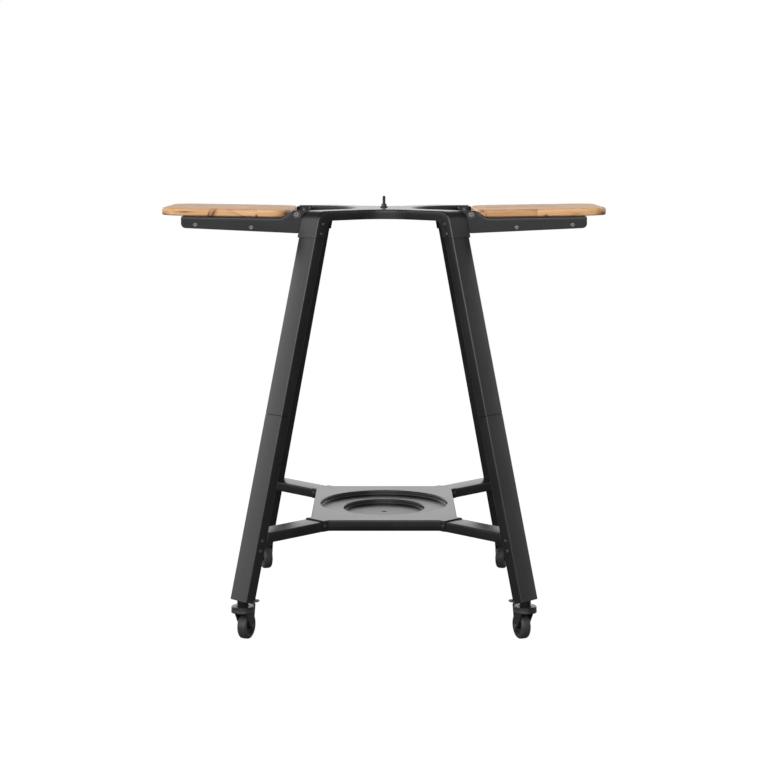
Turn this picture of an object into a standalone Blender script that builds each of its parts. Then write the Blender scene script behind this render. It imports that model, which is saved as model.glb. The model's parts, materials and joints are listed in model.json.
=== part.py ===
"""Pizza oven stand: a pressed top frame on four splayed legs, with a gas bottle shelf, two wooden side
shelves that fold up, and four swivel casters with brake pedals. Metres, +Z up, front towards -Y."""

import bmesh
import bpy
import numpy as np
from math import cos, pi, radians, sin, sqrt, tan
from mathutils import Matrix, Vector

# Clearance between pieces that touch
GAP = 0.0003
BOLT_PLAY = 0.0003

# How near two points are the same one
SAME_POINT = 1e-7
NEAR_POINT = 1e-5

# Radius of a bolt head's crown, as a share of the head's
CROWN_SHARE = 0.7

# Legs: rectangular tube on axes that run at 45 degrees in plan
LEG_WIDTH = 0.060
LEG_DEPTH = 0.030
LEG_WALL = 0.002
LEG_CORNER = 0.004
LEG_TILT = radians(15)
FOOT_REACH = 0.4811
AXIS_SHIFT = 0.045
SEAM_HEIGHT = 0.536
SEAM_GAP = 0.0006
JOINER_LENGTH = 0.100
PLUG_HEIGHT = 0.024

# Top frame
FRAME_TOP = 1.027
FRAME_DEPTH = 0.024
FRAME_SHEET = 0.0025
FRONT_NOTCH_RADIUS = 0.085
SIDE_NOTCH_RADIUS = 0.160
ROLL_RADIUS = 0.028
UNDER_RADIUS = 0.018
SLEEVE_LENGTH = 0.040
SLEEVE_LAP = 0.0005
LEG_TOP_ROOM = 0.002
HUB_HOLE = (0.036, 0.065)
HUB_HOLE_RADIUS = 0.0035

# Locating stud and its nut
STUD_RADIUS = 0.004
STUD_RISE = 0.030
STUD_HEAD_RADIUS = 0.0065
STUD_HEAD_HEIGHT = 0.005
NUT_RADIUS = 0.0095
NUT_HEIGHT = 0.0097

# Lower shelf and its arms
PLATE_TOP = 0.2618
PLATE_SHEET = 0.002
PLATE_SKIRT = 0.0266
RECESS_RADIUS = 0.165
RECESS_STEP = 0.0122
WELL_RADIUS = 0.1047
WELL_STEP = 0.0122
PLATE_MARGIN = 0.018
STUB_LENGTH = 0.018
STUB_LAP = 0.040
STUB_FILLET = 0.008
CENTRE_HOLE_RADIUS = 0.003
ARM_WIDTH = 0.0594
ARM_HEIGHT = 0.025
ARM_WALL = 0.002
ARM_CORNER = 0.003

# Folding side shelves, in a frame whose origin is the pivot and whose x runs outwards
SHELF_TILT = radians(0.9)
PIVOT_DROP = 0.011
PIVOT_OUT = 0.0116
WEB_INSET = 0.0116
BRACKET_SHEET = 0.0025
NOSE_ROOM = 0.0008
RAISED_LENGTH = 0.012
BRACKET_LEVEL_START = 0.038
BRACKET_REACH = 0.283
BRACKET_INNER_DEPTH = 0.0375
BRACKET_OUTER_DEPTH = 0.0285
BRACKET_INNER_RADIUS = 0.008
BRACKET_OUTER_RADIUS = 0.011
BRACKET_TIP_RADIUS = 0.003
BRACKET_BEND = 0.004
BOARD_MARGIN = 0.022
FLANGE_LAP = 0.022
BOARD_START = 0.015
BOARD_LENGTH = 0.323
BOARD_THICKNESS = 0.018
BOARD_CORNER = 0.057
BOARD_EDGE = 0.002
RAIL_SIZE = 0.014
RAIL_BOLT_RADIUS = 0.003
RAIL_HEAD_RADIUS = 0.005
RAIL_HEAD_HEIGHT = 0.0025
RAIL_BOLT_RISE = 0.009
RAIL_PLACES = (0.111, 0.248)
PIVOT_RADIUS = 0.003
PIVOT_HEAD_RADIUS = 0.0075
PIVOT_HEAD_HEIGHT = 0.004
PIVOT_NUT_RADIUS = 0.0055
PIVOT_NUT_HEIGHT = 0.005
EAR_RADIUS = 0.009
EAR_ROOT_DROP = 0.005

# Casters, in a frame whose origin is under the swivel axis and whose x runs along the trail
WHEEL_RADIUS = 0.0325
WHEEL_WIDTH = 0.024
WHEEL_SHOULDER = 0.005
HUB_RADIUS = 0.021
HUB_DISH = 0.003
WHEEL_CLEARANCE = 0.003
TRAIL = 0.020
TRAIL_TURN = radians(20)
CUP_RADIUS = 0.028
CUP_HEIGHT = 0.016
CUP_ROOF = 0.006
CUP_WALL = 0.003
CHEEK_ROOM = 0.0015
CHEEK_SHEET = 0.0025
CHEEK_END_RADIUS = 0.009
CHEEK_FRONT = 0.016
CHEEK_BACK = 0.021
BOSS_RADIUS = 0.0135
BOSS_HEIGHT = 0.0154
STEM_RADIUS = 0.005
STEM_RISE = 0.018
STEM_HEAD_RADIUS = 0.009
STEM_HEAD_HEIGHT = 0.0037
AXLE_RADIUS = 0.003
AXLE_HEAD_RADIUS = 0.005
AXLE_HEAD_HEIGHT = 0.0025
PEDAL_OUT = 0.014
PEDAL_DROP = 0.004
PEDAL_BARREL_RADIUS = 0.004
PEDAL_PIN_RADIUS = 0.0022
PEDAL_EAR_RADIUS = 0.0055
PEDAL_PLATE_ROOM = 0.0015
PEDAL_WIDTH = 0.040
PEDAL_LENGTH = 0.021
PEDAL_THICKNESS = 0.003
CAM_WIDTH = 0.014
CAM_REACH = 0.0162
CAM_THICKNESS = 0.005
CAM_TAPER = 0.8
PEDAL_STROKE = radians(20)

# What follows from the sizes above
ARM_HALF = LEG_WIDTH / 2 + GAP + FRAME_SHEET
CUP_BOTTOM = 2 * WHEEL_RADIUS + WHEEL_CLEARANCE
CUP_TOP = CUP_BOTTOM + CUP_HEIGHT
FOOT_HEIGHT = CUP_TOP + BOSS_HEIGHT + 2 * GAP
SLEEVE_BOTTOM = FRAME_TOP - FRAME_DEPTH - SLEEVE_LENGTH
ROLL_CENTRE = FRAME_TOP - ROLL_RADIUS
LEG_TOP = ROLL_CENTRE + (ROLL_RADIUS - FRAME_SHEET) * sin(LEG_TILT) - LEG_TOP_ROOM
PIVOT_HEIGHT = FRAME_TOP - PIVOT_DROP
STUB_HALF = ARM_WIDTH / 2 + GAP + PLATE_SHEET
PLATE_HALF_X = RECESS_RADIUS + PLATE_MARGIN
PLATE_HALF_Y = PLATE_HALF_X + AXIS_SHIFT
STUB_REACH = sqrt(2) * PLATE_HALF_X - STUB_HALF + STUB_LENGTH
ARM_TOP = PLATE_TOP - PLATE_SHEET - GAP
CHEEK_INNER = WHEEL_WIDTH / 2 + CHEEK_ROOM
CHEEK_OUTER = CHEEK_INNER + CHEEK_SHEET
CORNERS = {"front_left": (-1, -1), "front_right": (1, -1), "rear_right": (1, 1), "rear_left": (-1, 1)}


def leg_reach(height):
    """Distance in plan from the leg planes' meeting point to the leg's axis at this height."""
    return FOOT_REACH - tan(LEG_TILT) * (height - FOOT_HEIGHT)


def along_leg(offset):
    """A distance square to the leg's face, as the level distance that it takes."""
    return offset / cos(LEG_TILT)


WEB_FACE = leg_reach(PIVOT_HEIGHT) / sqrt(2) + AXIS_SHIFT - WEB_INSET
SLEEVE_SIDE_X = WEB_FACE - AXIS_SHIFT + ARM_HALF * sqrt(2)
PIVOT_X = SLEEVE_SIDE_X + PIVOT_OUT
BOARD_HALF = WEB_FACE - BOARD_MARGIN
BOARD_BOTTOM = PIVOT_DROP - BOARD_THICKNESS
FLANGE_TOP = BOARD_BOTTOM - GAP
NOSE_RADIUS = PIVOT_OUT - GAP - NOSE_ROOM
WEB_INNER_FACE = WEB_FACE - BRACKET_SHEET
EAR_FACE = WEB_INNER_FACE - GAP
EAR_INNER_FACE = EAR_FACE - FRAME_SHEET


# Materials

def new_material(name, colour, roughness, metallic):
    material = bpy.data.materials.new(name)
    material.diffuse_color = (*colour, 1)
    material.use_nodes = True
    shader = next(node for node in material.node_tree.nodes if node.type == "BSDF_PRINCIPLED")
    shader.inputs["Base Color"].default_value = (*colour, 1)
    shader.inputs["Roughness"].default_value = roughness
    shader.inputs["Metallic"].default_value = metallic
    return material


def clear_scene():
    for item in list(bpy.data.objects):
        bpy.data.objects.remove(item, do_unlink=True)


clear_scene()
BLACK_STEEL = new_material("black_steel", (0.035, 0.035, 0.036), 0.45, 0.0)
WOOD = new_material("wood", (0.52, 0.30, 0.14), 0.5, 0.0)
DARK_BOLT = new_material("dark_bolt", (0.12, 0.12, 0.12), 0.35, 1.0)
BRIGHT_STEEL = new_material("bright_steel", (0.55, 0.55, 0.55), 0.3, 1.0)
RUBBER = new_material("rubber", (0.03, 0.03, 0.03), 0.7, 0.0)


# Outlines in two dimensions

def arc(centre, radius, start, end, steps):
    angles = np.linspace(start, end, steps + 1)
    return [(centre[0] + radius * cos(a), centre[1] + radius * sin(a)) for a in angles]


def rounded(points, steps=4):
    """The closed outline through (x, y, radius) points, with each corner turned into an arc."""
    outline = []
    for index, (x, y, radius) in enumerate(points):
        corner = Vector((x, y))
        before = Vector(points[index - 1][:2]) - corner
        after = Vector(points[(index + 1) % len(points)][:2]) - corner
        if radius <= 0:
            outline.append((x, y))
            continue
        half = before.angle(after) / 2
        middle = (before.normalized() + after.normalized()).normalized()
        centre = corner + middle * radius / sin(half)
        first = corner + before.normalized() * radius / tan(half) - centre
        turn = first.angle_signed(corner + after.normalized() * radius / tan(half) - centre)
        for step in range(steps + 1):
            angle = -turn * step / steps
            spoke = Matrix.Rotation(angle, 2) @ first
            outline.append(tuple(centre + spoke))
    return outline


def box_outline(half_x, half_y, radius, steps=3):
    return rounded([(half_x, half_y, radius), (-half_x, half_y, radius),
                    (-half_x, -half_y, radius), (half_x, -half_y, radius)], steps)


# Solids

def add_object(name, mesh, material=None, parent=None, location=(0, 0, 0), rotation=(0, 0, 0)):
    item = bpy.data.objects.new(name, mesh)
    bpy.context.scene.collection.objects.link(item)
    if material and not mesh.materials:
        mesh.materials.append(material)
    item.parent = parent
    item.location = location
    item.rotation_euler = rotation
    return item


def add_empty(name, location, rotation=(0, 0, 0), parent=None):
    empty = bpy.data.objects.new(name, None)
    bpy.context.scene.collection.objects.link(empty)
    empty.location = location
    empty.rotation_euler = rotation
    empty.parent = parent
    return empty


def skin(rings, closed=False):
    """A mesh over rings of equally many points: capped at both ends, or closed into a loop."""
    shape = bmesh.new()
    rows = [[shape.verts.new(point) for point in ring] for ring in rings]
    pairs = list(zip(rows, rows[1:])) + ([(rows[-1], rows[0])] if closed else [])
    for low, high in pairs:
        for i in range(len(low)):
            shape.faces.new((low[i - 1], low[i], high[i], high[i - 1]))
    if not closed:
        shape.faces.new(rows[0])
        shape.faces.new(rows[-1])
    bmesh.ops.remove_doubles(shape, verts=shape.verts, dist=SAME_POINT)
    bmesh.ops.recalc_face_normals(shape, faces=shape.faces)
    mesh = bpy.data.meshes.new("solid")
    shape.to_mesh(mesh)
    shape.free()
    mesh.shade_smooth()
    mesh.set_sharp_from_angle(angle=radians(30))
    return mesh


def lifted(outline, height):
    return [(x, y, height) for x, y in outline]


def upright(outline, depth):
    """The outline's x and y as x and z, at y = depth."""
    return [(x, depth, y) for x, y in outline]


def prism(outline, low, high):
    return skin([lifted(outline, low), lifted(outline, high)])


def side_prism(outline, near, far):
    return skin([upright(outline, near), upright(outline, far)])


def turned(profile, steps, closed=False):
    """The (radius, height) profile turned about z. It is closed where the piece has a bore."""
    turns = [2 * pi * i / steps for i in range(steps)]
    rings = [[(r * cos(a), r * sin(a), z) for a in turns] for r, z in profile]
    if closed:
        return skin(rings, closed=True)
    bottom = [(0, 0, profile[0][1])] * steps
    top = [(0, 0, profile[-1][1])] * steps
    return skin_without_caps([bottom] + rings + [top])


def skin_without_caps(rings):
    """A mesh over rings whose first and last ring are each a single point."""
    shape = bmesh.new()
    first, last = shape.verts.new(rings[0][0]), shape.verts.new(rings[-1][0])
    rows = [[shape.verts.new(point) for point in ring] for ring in rings[1:-1]]
    for low, high in zip(rows, rows[1:]):
        for i in range(len(low)):
            shape.faces.new((low[i - 1], low[i], high[i], high[i - 1]))
    for i in range(len(rows[0])):
        shape.faces.new((first, rows[0][i], rows[0][i - 1]))
        shape.faces.new((last, rows[-1][i - 1], rows[-1][i]))
    bmesh.ops.recalc_face_normals(shape, faces=shape.faces)
    mesh = bpy.data.meshes.new("turned")
    shape.to_mesh(mesh)
    shape.free()
    mesh.shade_smooth()
    mesh.set_sharp_from_angle(angle=radians(30))
    return mesh


def moved(mesh, matrix):
    """The mesh carried to a new place, facing outwards again after a mirroring."""
    mesh.transform(matrix)
    if matrix.determinant() < 0:
        mesh.flip_normals()
    return mesh


def across(mesh, x=0, z=0, y=0):
    """A mesh turned about z laid along y instead, with its axis through (x, y, z)."""
    return moved(mesh, Matrix.Translation((x, y, z)) @ Matrix.Rotation(radians(-90), 4, "X"))


def combined(mesh, tools, operation):
    """The mesh with each tool mesh joined to it, cut from it or kept of it."""
    base = add_object("base", mesh)
    for tool_mesh in tools:
        tool = add_object("tool", tool_mesh)
        tool.hide_render = True
        tool.display_type = "WIRE"
        modifier = base.modifiers.new(operation, "BOOLEAN")
        modifier.operation = operation
        modifier.solver = "EXACT"
        modifier.object = tool
    result = bpy.data.meshes.new_from_object(
        base.evaluated_get(bpy.context.evaluated_depsgraph_get()))
    tools_made = [modifier.object for modifier in base.modifiers]
    for item in [base] + tools_made:
        bpy.data.objects.remove(item)
    result.materials.clear()
    result.shade_smooth()
    result.set_sharp_from_angle(angle=radians(30))
    return result


def joined(mesh, *tools):
    return combined(mesh, tools, "UNION")


def cut(mesh, *tools):
    return combined(mesh, tools, "DIFFERENCE")


def kept(mesh, *tools):
    return combined(mesh, tools, "INTERSECT")


def tube_mesh(half_x, half_y, corner, wall, low, high):
    """A rectangular tube along z. Low and high give the height of each end at an (x, y) point."""
    outer = box_outline(half_x, half_y, corner)
    inner = box_outline(half_x - wall, half_y - wall, max(corner - wall, corner / 4))
    ends = [[(x, y, end(x, y)) for x, y in outline]
            for outline, end in ((outer, low), (outer, high), (inner, high), (inner, low))]
    return skin(ends, closed=True)


# Legs

def leg_place(corner, height):
    """Location and rotation of the leg's own frame: x across, y out, z up along the leg."""
    side_x, side_y = corner
    reach = leg_reach(height) / sqrt(2)
    turn = np.arctan2(side_y, side_x) - pi / 2
    return ((side_x * reach, side_y * (reach + AXIS_SHIFT), height), (LEG_TILT, 0, turn))


def level_in_leg(height, origin_height):
    """The height along the leg, in its own frame, of a level cut at a height above the floor."""
    return lambda x, y: (height - origin_height - y * sin(LEG_TILT)) / cos(LEG_TILT)


def square_end(offset):
    return lambda x, y: offset


def upright_in_leg(mesh):
    """A mesh with world axes about the leg frame's origin, turned into the leg's own frame."""
    return moved(mesh, Matrix.Rotation(-LEG_TILT, 4, "X"))


def build_legs():
    half_x, half_y = LEG_WIDTH / 2, LEG_DEPTH / 2
    upper = tube_mesh(half_x, half_y, LEG_CORNER, LEG_WALL,
                      square_end(SEAM_GAP / 2), level_in_leg(LEG_TOP, SEAM_HEIGHT))
    lower = tube_mesh(half_x, half_y, LEG_CORNER, LEG_WALL,
                      level_in_leg(FOOT_HEIGHT, SEAM_HEIGHT), square_end(-SEAM_GAP / 2))
    inside_x, inside_y = half_x - LEG_WALL - GAP, half_y - LEG_WALL - GAP
    inside_corner = max(LEG_CORNER - LEG_WALL, LEG_CORNER / 4)
    joiner = tube_mesh(inside_x, inside_y, inside_corner, LEG_WALL,
                       square_end(-JOINER_LENGTH / 2), square_end(JOINER_LENGTH / 2))
    outline = box_outline(inside_x, inside_y, inside_corner)
    ends = [level_in_leg(FOOT_HEIGHT + lift, FOOT_HEIGHT) for lift in (GAP, PLUG_HEIGHT)]
    plug = skin([[(x, y, end(x, y)) for x, y in outline] for end in ends])
    bore_radius = STEM_RADIUS + BOLT_PLAY
    bore = turned([(bore_radius, -PLUG_HEIGHT), (bore_radius, 2 * PLUG_HEIGHT)], 16)
    plug = cut(plug, upright_in_leg(bore))
    for name, corner in CORNERS.items():
        seam_place = leg_place(corner, SEAM_HEIGHT)
        foot_place = leg_place(corner, FOOT_HEIGHT)
        add_object(f"upper_leg_{name}", upper, BLACK_STEEL, None, *seam_place)
        add_object(f"lower_leg_{name}", lower, BLACK_STEEL, None, *seam_place)
        add_object(f"leg_joiner_{name}", joiner, BLACK_STEEL, None, *seam_place)
        add_object(f"leg_plug_{name}", plug, RUBBER, None, *foot_place)


# Top frame

def cross_outline(half_width, reach, front_radius, side_radius, steps=11):
    """Four arms at 45 degrees, each half_width to a side, with a round notch between neighbours."""
    offset = half_width * sqrt(2)
    front_centre = AXIS_SHIFT + offset + front_radius * sqrt(2)
    side_centre = offset - AXIS_SHIFT + side_radius * sqrt(2)
    end = reach / sqrt(2)
    across_end = half_width / sqrt(2)
    outline = []
    notches = ((side_centre, 0, side_radius, pi), (0, front_centre, front_radius, -pi / 2),
               (-side_centre, 0, side_radius, 0), (0, -front_centre, front_radius, pi / 2))
    arm_corners = ((1, 1), (-1, 1), (-1, -1), (1, -1))
    for (x, y, radius, facing), (side_x, side_y) in zip(notches, arm_corners):
        outline += arc((x, y), radius, facing + pi / 4, facing - pi / 4, steps)
        tip_x, tip_y = side_x * end, side_y * (end + AXIS_SHIFT)
        outline.append((tip_x + side_y * across_end, tip_y - side_x * across_end))
        outline.append((tip_x - side_y * across_end, tip_y + side_x * across_end))
    return outline


def diamond(reach, height):
    """The square on its corner whose sides cross every arm at this reach."""
    extent = sqrt(2) * reach + AXIS_SHIFT
    return [(extent, 0, height), (0, extent, height), (-extent, 0, height), (0, -extent, height)]


def leg_shell(offset, radius, roll_height, low, steps=5):
    """Stacked diamonds at an offset from the legs' axes, rolled over onto a level top."""
    centre_reach = leg_reach(roll_height) + along_leg(offset - radius)
    rings = [diamond(leg_reach(low) + along_leg(offset), low)]
    for step in range(steps + 1):
        angle = LEG_TILT + (pi / 2 - LEG_TILT) * step / steps
        rings.append(diamond(centre_reach + radius * cos(angle), roll_height + radius * sin(angle)))
    return skin(rings)


def hinge_ear(side_x, side_y):
    """The plate beside a sleeve that carries a side shelf's pivot. It starts inside the arm."""
    root = SLEEVE_SIDE_X - BRACKET_SHEET - 2 * FRAME_SHEET
    low_root, high_root = PIVOT_HEIGHT - EAR_RADIUS - EAR_ROOT_DROP, PIVOT_HEIGHT + EAR_RADIUS / 2
    outline = [(root, low_root)]
    outline += arc((PIVOT_X, PIVOT_HEIGHT), EAR_RADIUS, -pi / 2, pi / 2, 8)
    outline.append((root, high_root))
    mesh = side_prism(outline, EAR_INNER_FACE, EAR_FACE)
    return moved(mesh, Matrix.Diagonal((side_x, side_y, 1, 1)))


def build_top_frame():
    end_reach = leg_reach(SLEEVE_BOTTOM) + 2 * LEG_DEPTH
    outer_offset = LEG_DEPTH / 2 + GAP + FRAME_SHEET
    inner_offset = -LEG_DEPTH / 2 - SLEEVE_LAP
    below, above = SLEEVE_BOTTOM - 2 * FRAME_DEPTH, FRAME_TOP + FRAME_DEPTH / 2
    arms = cross_outline(ARM_HALF, end_reach, FRONT_NOTCH_RADIUS, SIDE_NOTCH_RADIUS)
    hollow = cross_outline(ARM_HALF - FRAME_SHEET, end_reach + FRAME_SHEET,
                           FRONT_NOTCH_RADIUS + FRAME_SHEET, SIDE_NOTCH_RADIUS + FRAME_SHEET)
    body = kept(prism(arms, SLEEVE_BOTTOM, above),
                leg_shell(outer_offset, ROLL_RADIUS, ROLL_CENTRE, below))
    body = joined(body, *[hinge_ear(*corner) for corner in CORNERS.values()])
    cavity = kept(prism(hollow, below - FRAME_DEPTH, above),
                  leg_shell(outer_offset - FRAME_SHEET, ROLL_RADIUS - FRAME_SHEET, ROLL_CENTRE,
                            below - FRAME_DEPTH / 2))
    under_height = FRAME_TOP - FRAME_DEPTH - UNDER_RADIUS
    under = leg_shell(inner_offset, UNDER_RADIUS, under_height, below - FRAME_DEPTH / 4, 4)
    pivot_hole = PIVOT_RADIUS + BOLT_PLAY
    holes = [across(turned([(pivot_hole, -FRAME_DEPTH), (pivot_hole, FRAME_DEPTH)], 12),
                    side_x * PIVOT_X, PIVOT_HEIGHT, side_y * EAR_FACE)
             for side_x, side_y in CORNERS.values()]
    for x, y, radius in hub_holes():
        hole = turned([(radius, FRAME_TOP - FRAME_DEPTH), (radius, above)], 12)
        holes.append(moved(hole, Matrix.Translation((x, y, 0))))
    body = cut(body, cavity, under, *holes)
    add_object("top_frame", body, BLACK_STEEL)


def hub_holes():
    """Place and radius of the hole for the stud and of the four round it."""
    x, y = HUB_HOLE
    return [(0, 0, STUD_RADIUS + BOLT_PLAY)] + [
        (side_x * x, side_y * y, HUB_HOLE_RADIUS) for side_x, side_y in CORNERS.values()]


def build_stud():
    under = FRAME_TOP - FRAME_SHEET - GAP
    profile = [(STUD_HEAD_RADIUS, under - STUD_HEAD_HEIGHT), (STUD_HEAD_RADIUS, under),
               (STUD_RADIUS, under), (STUD_RADIUS, FRAME_TOP + STUD_RISE - STUD_RADIUS / 4),
               (STUD_RADIUS * 0.75, FRAME_TOP + STUD_RISE)]
    add_object("locating_stud", turned(profile, 16), BRIGHT_STEEL)
    bore = STUD_RADIUS + BOLT_PLAY
    low = FRAME_TOP + GAP
    high = low + NUT_HEIGHT
    chamfer = NUT_RADIUS / 12
    nut = [(bore, low), (NUT_RADIUS, low), (NUT_RADIUS, high - chamfer),
           (NUT_RADIUS - chamfer, high), (bore, high)]
    add_object("stud_nut", turned(nut, 12, closed=True), DARK_BOLT)


# Lower shelf

def plate_outline(half_x, half_y, stub_half, stub_reach, fillet):
    """A rectangle with a stub towards each leg, whose end is square to the leg's direction."""
    outline = []
    side = stub_half * sqrt(2)
    extent = sqrt(2) * stub_reach + AXIS_SHIFT
    for side_x, side_y in ((1, 1), (-1, 1), (-1, -1), (1, -1)):
        near_side = [(half_x, half_x + AXIS_SHIFT - side, fillet),
                     ((extent - AXIS_SHIFT + side) / 2, (extent + AXIS_SHIFT - side) / 2, 0)]
        near_front = [((extent - AXIS_SHIFT - side) / 2, (extent + AXIS_SHIFT + side) / 2, 0),
                      (half_y - AXIS_SHIFT - side, half_y, fillet)]
        quarter = near_side + near_front
        if side_x * side_y < 0:
            quarter.reverse()
        outline += [(side_x * x, side_y * y, radius) for x, y, radius in quarter]
    return rounded(outline, 3)


def build_lower_shelf():
    bottom = PLATE_TOP - PLATE_SKIRT
    recess_floor = PLATE_TOP - RECESS_STEP
    well_floor = recess_floor - WELL_STEP
    body = prism(plate_outline(PLATE_HALF_X, PLATE_HALF_Y, STUB_HALF, STUB_REACH, STUB_FILLET),
                 bottom, PLATE_TOP)
    hollow = plate_outline(PLATE_HALF_X - PLATE_SHEET, PLATE_HALF_Y - PLATE_SHEET,
                           STUB_HALF - PLATE_SHEET, STUB_REACH + STUB_LENGTH,
                           STUB_FILLET + PLATE_SHEET)
    body = cut(body, prism(hollow, bottom - PLATE_SKIRT, PLATE_TOP - PLATE_SHEET))
    pan = [(WELL_RADIUS + PLATE_SHEET, well_floor - PLATE_SHEET),
           (WELL_RADIUS + PLATE_SHEET, recess_floor - PLATE_SHEET),
           (RECESS_RADIUS + PLATE_SHEET, recess_floor - PLATE_SHEET),
           (RECESS_RADIUS + PLATE_SHEET, PLATE_TOP - PLATE_SHEET / 2)]
    recess = [(CENTRE_HOLE_RADIUS, bottom - PLATE_SKIRT), (CENTRE_HOLE_RADIUS, well_floor),
              (WELL_RADIUS, well_floor), (WELL_RADIUS, recess_floor),
              (RECESS_RADIUS, recess_floor), (RECESS_RADIUS, PLATE_TOP + PLATE_SKIRT)]
    body = cut(joined(body, turned(pan, 48)), turned(recess, 48))
    add_object("lower_shelf", body, BLACK_STEEL)


def build_shelf_arms():
    """Each arm lies in a frame at its leg's meeting point, with z level and outwards along y."""
    start = STUB_REACH - STUB_LAP
    centre = ARM_TOP - ARM_HEIGHT / 2

    def leg_end(x, z):
        return leg_reach(centre + z) - along_leg(LEG_DEPTH / 2 + GAP)

    mesh = tube_mesh(ARM_WIDTH / 2, ARM_HEIGHT / 2, ARM_CORNER, ARM_WALL, square_end(start), leg_end)
    lying = Matrix.Translation((0, 0, centre)) @ Matrix(((1, 0, 0, 0), (0, 0, 1, 0),
                                                         (0, 1, 0, 0), (0, 0, 0, 1)))
    moved(mesh, lying)
    for name, (side_x, side_y) in CORNERS.items():
        turn = np.arctan2(side_y, side_x) - pi / 2
        add_object(f"shelf_arm_{name}", mesh, BLACK_STEEL, None,
                   (0, side_y * AXIS_SHIFT, 0), (0, 0, turn))


# Folding side shelves

def bracket_line(x):
    """Height of the bracket's lower edge."""
    slope = (BRACKET_INNER_DEPTH - BRACKET_OUTER_DEPTH) / (BRACKET_REACH + PIVOT_OUT)
    return FLANGE_TOP - BRACKET_INNER_DEPTH + slope * (x + PIVOT_OUT)


def build_bracket():
    """The bracket at -y: a solid with its bend rounded, hollowed to a web and a flange."""
    heel = GAP - PIVOT_OUT
    heel_low = bracket_line(heel)
    heel += heel_low * sin(SHELF_TILT)
    nose = arc((0, 0), NOSE_RADIUS, pi, pi / 2, 5)
    edge = [(heel, heel_low, BRACKET_INNER_RADIUS)] + [(x, y, 0) for x, y in nose]
    edge += [(RAISED_LENGTH, NOSE_RADIUS, 0), (BRACKET_LEVEL_START, FLANGE_TOP, 0),
             (BRACKET_REACH, FLANGE_TOP, BRACKET_TIP_RADIUS),
             (BRACKET_REACH, bracket_line(BRACKET_REACH), BRACKET_OUTER_RADIUS)]
    outline = rounded(edge)
    flange_face = BOARD_HALF - FLANGE_LAP
    body = rounded_bend(outline, -WEB_FACE, -flange_face)
    below, beyond = FLANGE_TOP - 2 * BRACKET_INNER_DEPTH, BRACKET_REACH + 2 * BRACKET_BEND
    drop = BRACKET_SHEET
    run = BRACKET_LEVEL_START - RAISED_LENGTH
    rise = NOSE_RADIUS - FLANGE_TOP
    slant = sqrt(run ** 2 + rise ** 2)
    knee = BRACKET_LEVEL_START - drop * (slant - run) / rise
    top = 2 * NOSE_RADIUS
    shoulder = knee - (top - FLANGE_TOP + drop) * run / rise
    before = heel - 4 * drop
    hollow = [(before, below), (beyond, below), (beyond, FLANGE_TOP - drop),
              (knee, FLANGE_TOP - drop), (shoulder, top), (before, top)]
    cavity = side_prism(hollow, -WEB_INNER_FACE, -flange_face + drop)
    trim_end = BRACKET_LEVEL_START + BRACKET_BEND
    trim = side_prism([(heel, FLANGE_TOP - 4 * drop), (trim_end, FLANGE_TOP - 4 * drop),
                       (trim_end, top), (heel, top)], -BOARD_HALF, -flange_face + 2 * drop)
    tools = [cavity, trim]
    bolts = [(RAIL_BOLT_RADIUS, x, rail_height(x)) for x in RAIL_PLACES] + [(PIVOT_RADIUS, 0, 0)]
    for bolt_radius, x, z in bolts:
        radius, reach = bolt_radius + BOLT_PLAY, 4 * BRACKET_SHEET
        tools.append(across(turned([(radius, -reach), (radius, reach)], 12), x, z, -WEB_FACE))
    return cut(body, *tools)


def rounded_bend(outline, near, far):
    """The outline as a prism along y, with the edge over the slope and the level run rounded."""
    mesh = side_prism(outline, near, far)
    shape = bmesh.new()
    shape.from_mesh(mesh)
    marks = (Vector((RAISED_LENGTH, near, NOSE_RADIUS)),
             Vector((BRACKET_LEVEL_START, near, FLANGE_TOP)),
             Vector((BRACKET_REACH - BRACKET_TIP_RADIUS, near, FLANGE_TOP)))
    edges = []
    for first, second in zip(marks, marks[1:]):
        for edge in shape.edges:
            ends = [vert.co for vert in edge.verts]
            misses = [min((end - mark).length for end in ends) for mark in (first, second)]
            if max(misses) < NEAR_POINT:
                edges.append(edge)
    bmesh.ops.bevel(shape, geom=edges, offset=BRACKET_BEND, segments=3, profile=0.5,
                    affect="EDGES", clamp_overlap=True)
    bmesh.ops.recalc_face_normals(shape, faces=shape.faces)
    shape.to_mesh(mesh)
    shape.free()
    return mesh


def rail_height(x):
    return bracket_line(x) + RAIL_BOLT_RISE


def build_rail():
    """A square rail between the webs, with its bolts through them, about its own centre."""
    half = RAIL_SIZE / 2
    length = WEB_INNER_FACE - GAP
    rail = side_prism(box_outline(half, half, half / 5, 2), -length, length)
    bolts = []
    for side in (-1, 1):
        head = WEB_FACE + GAP
        profile = [(RAIL_BOLT_RADIUS, length - half), (RAIL_BOLT_RADIUS, head),
                   (RAIL_HEAD_RADIUS, head), (RAIL_HEAD_RADIUS, head + RAIL_HEAD_HEIGHT / 2),
                   (RAIL_HEAD_RADIUS * CROWN_SHARE, head + RAIL_HEAD_HEIGHT)]
        bolt = across(turned(profile, 12))
        bolts.append(moved(bolt, Matrix.Diagonal((1, side, 1, 1))))
    return joined(rail, *bolts)


def build_board():
    """A board with round corners and softened edges, along its own x from the pivot."""
    def outline(inset):
        low_x, high_x = BOARD_START + inset, BOARD_START + BOARD_LENGTH - inset
        half_y, radius = BOARD_HALF - inset, BOARD_CORNER - inset
        return rounded([(high_x, half_y, radius), (low_x, half_y, radius),
                        (low_x, -half_y, radius), (high_x, -half_y, radius)], 8)
    top = PIVOT_DROP
    return skin([lifted(outline(BOARD_EDGE), BOARD_BOTTOM),
                 lifted(outline(0), BOARD_BOTTOM + BOARD_EDGE),
                 lifted(outline(0), top - BOARD_EDGE),
                 lifted(outline(BOARD_EDGE), top)])


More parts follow.
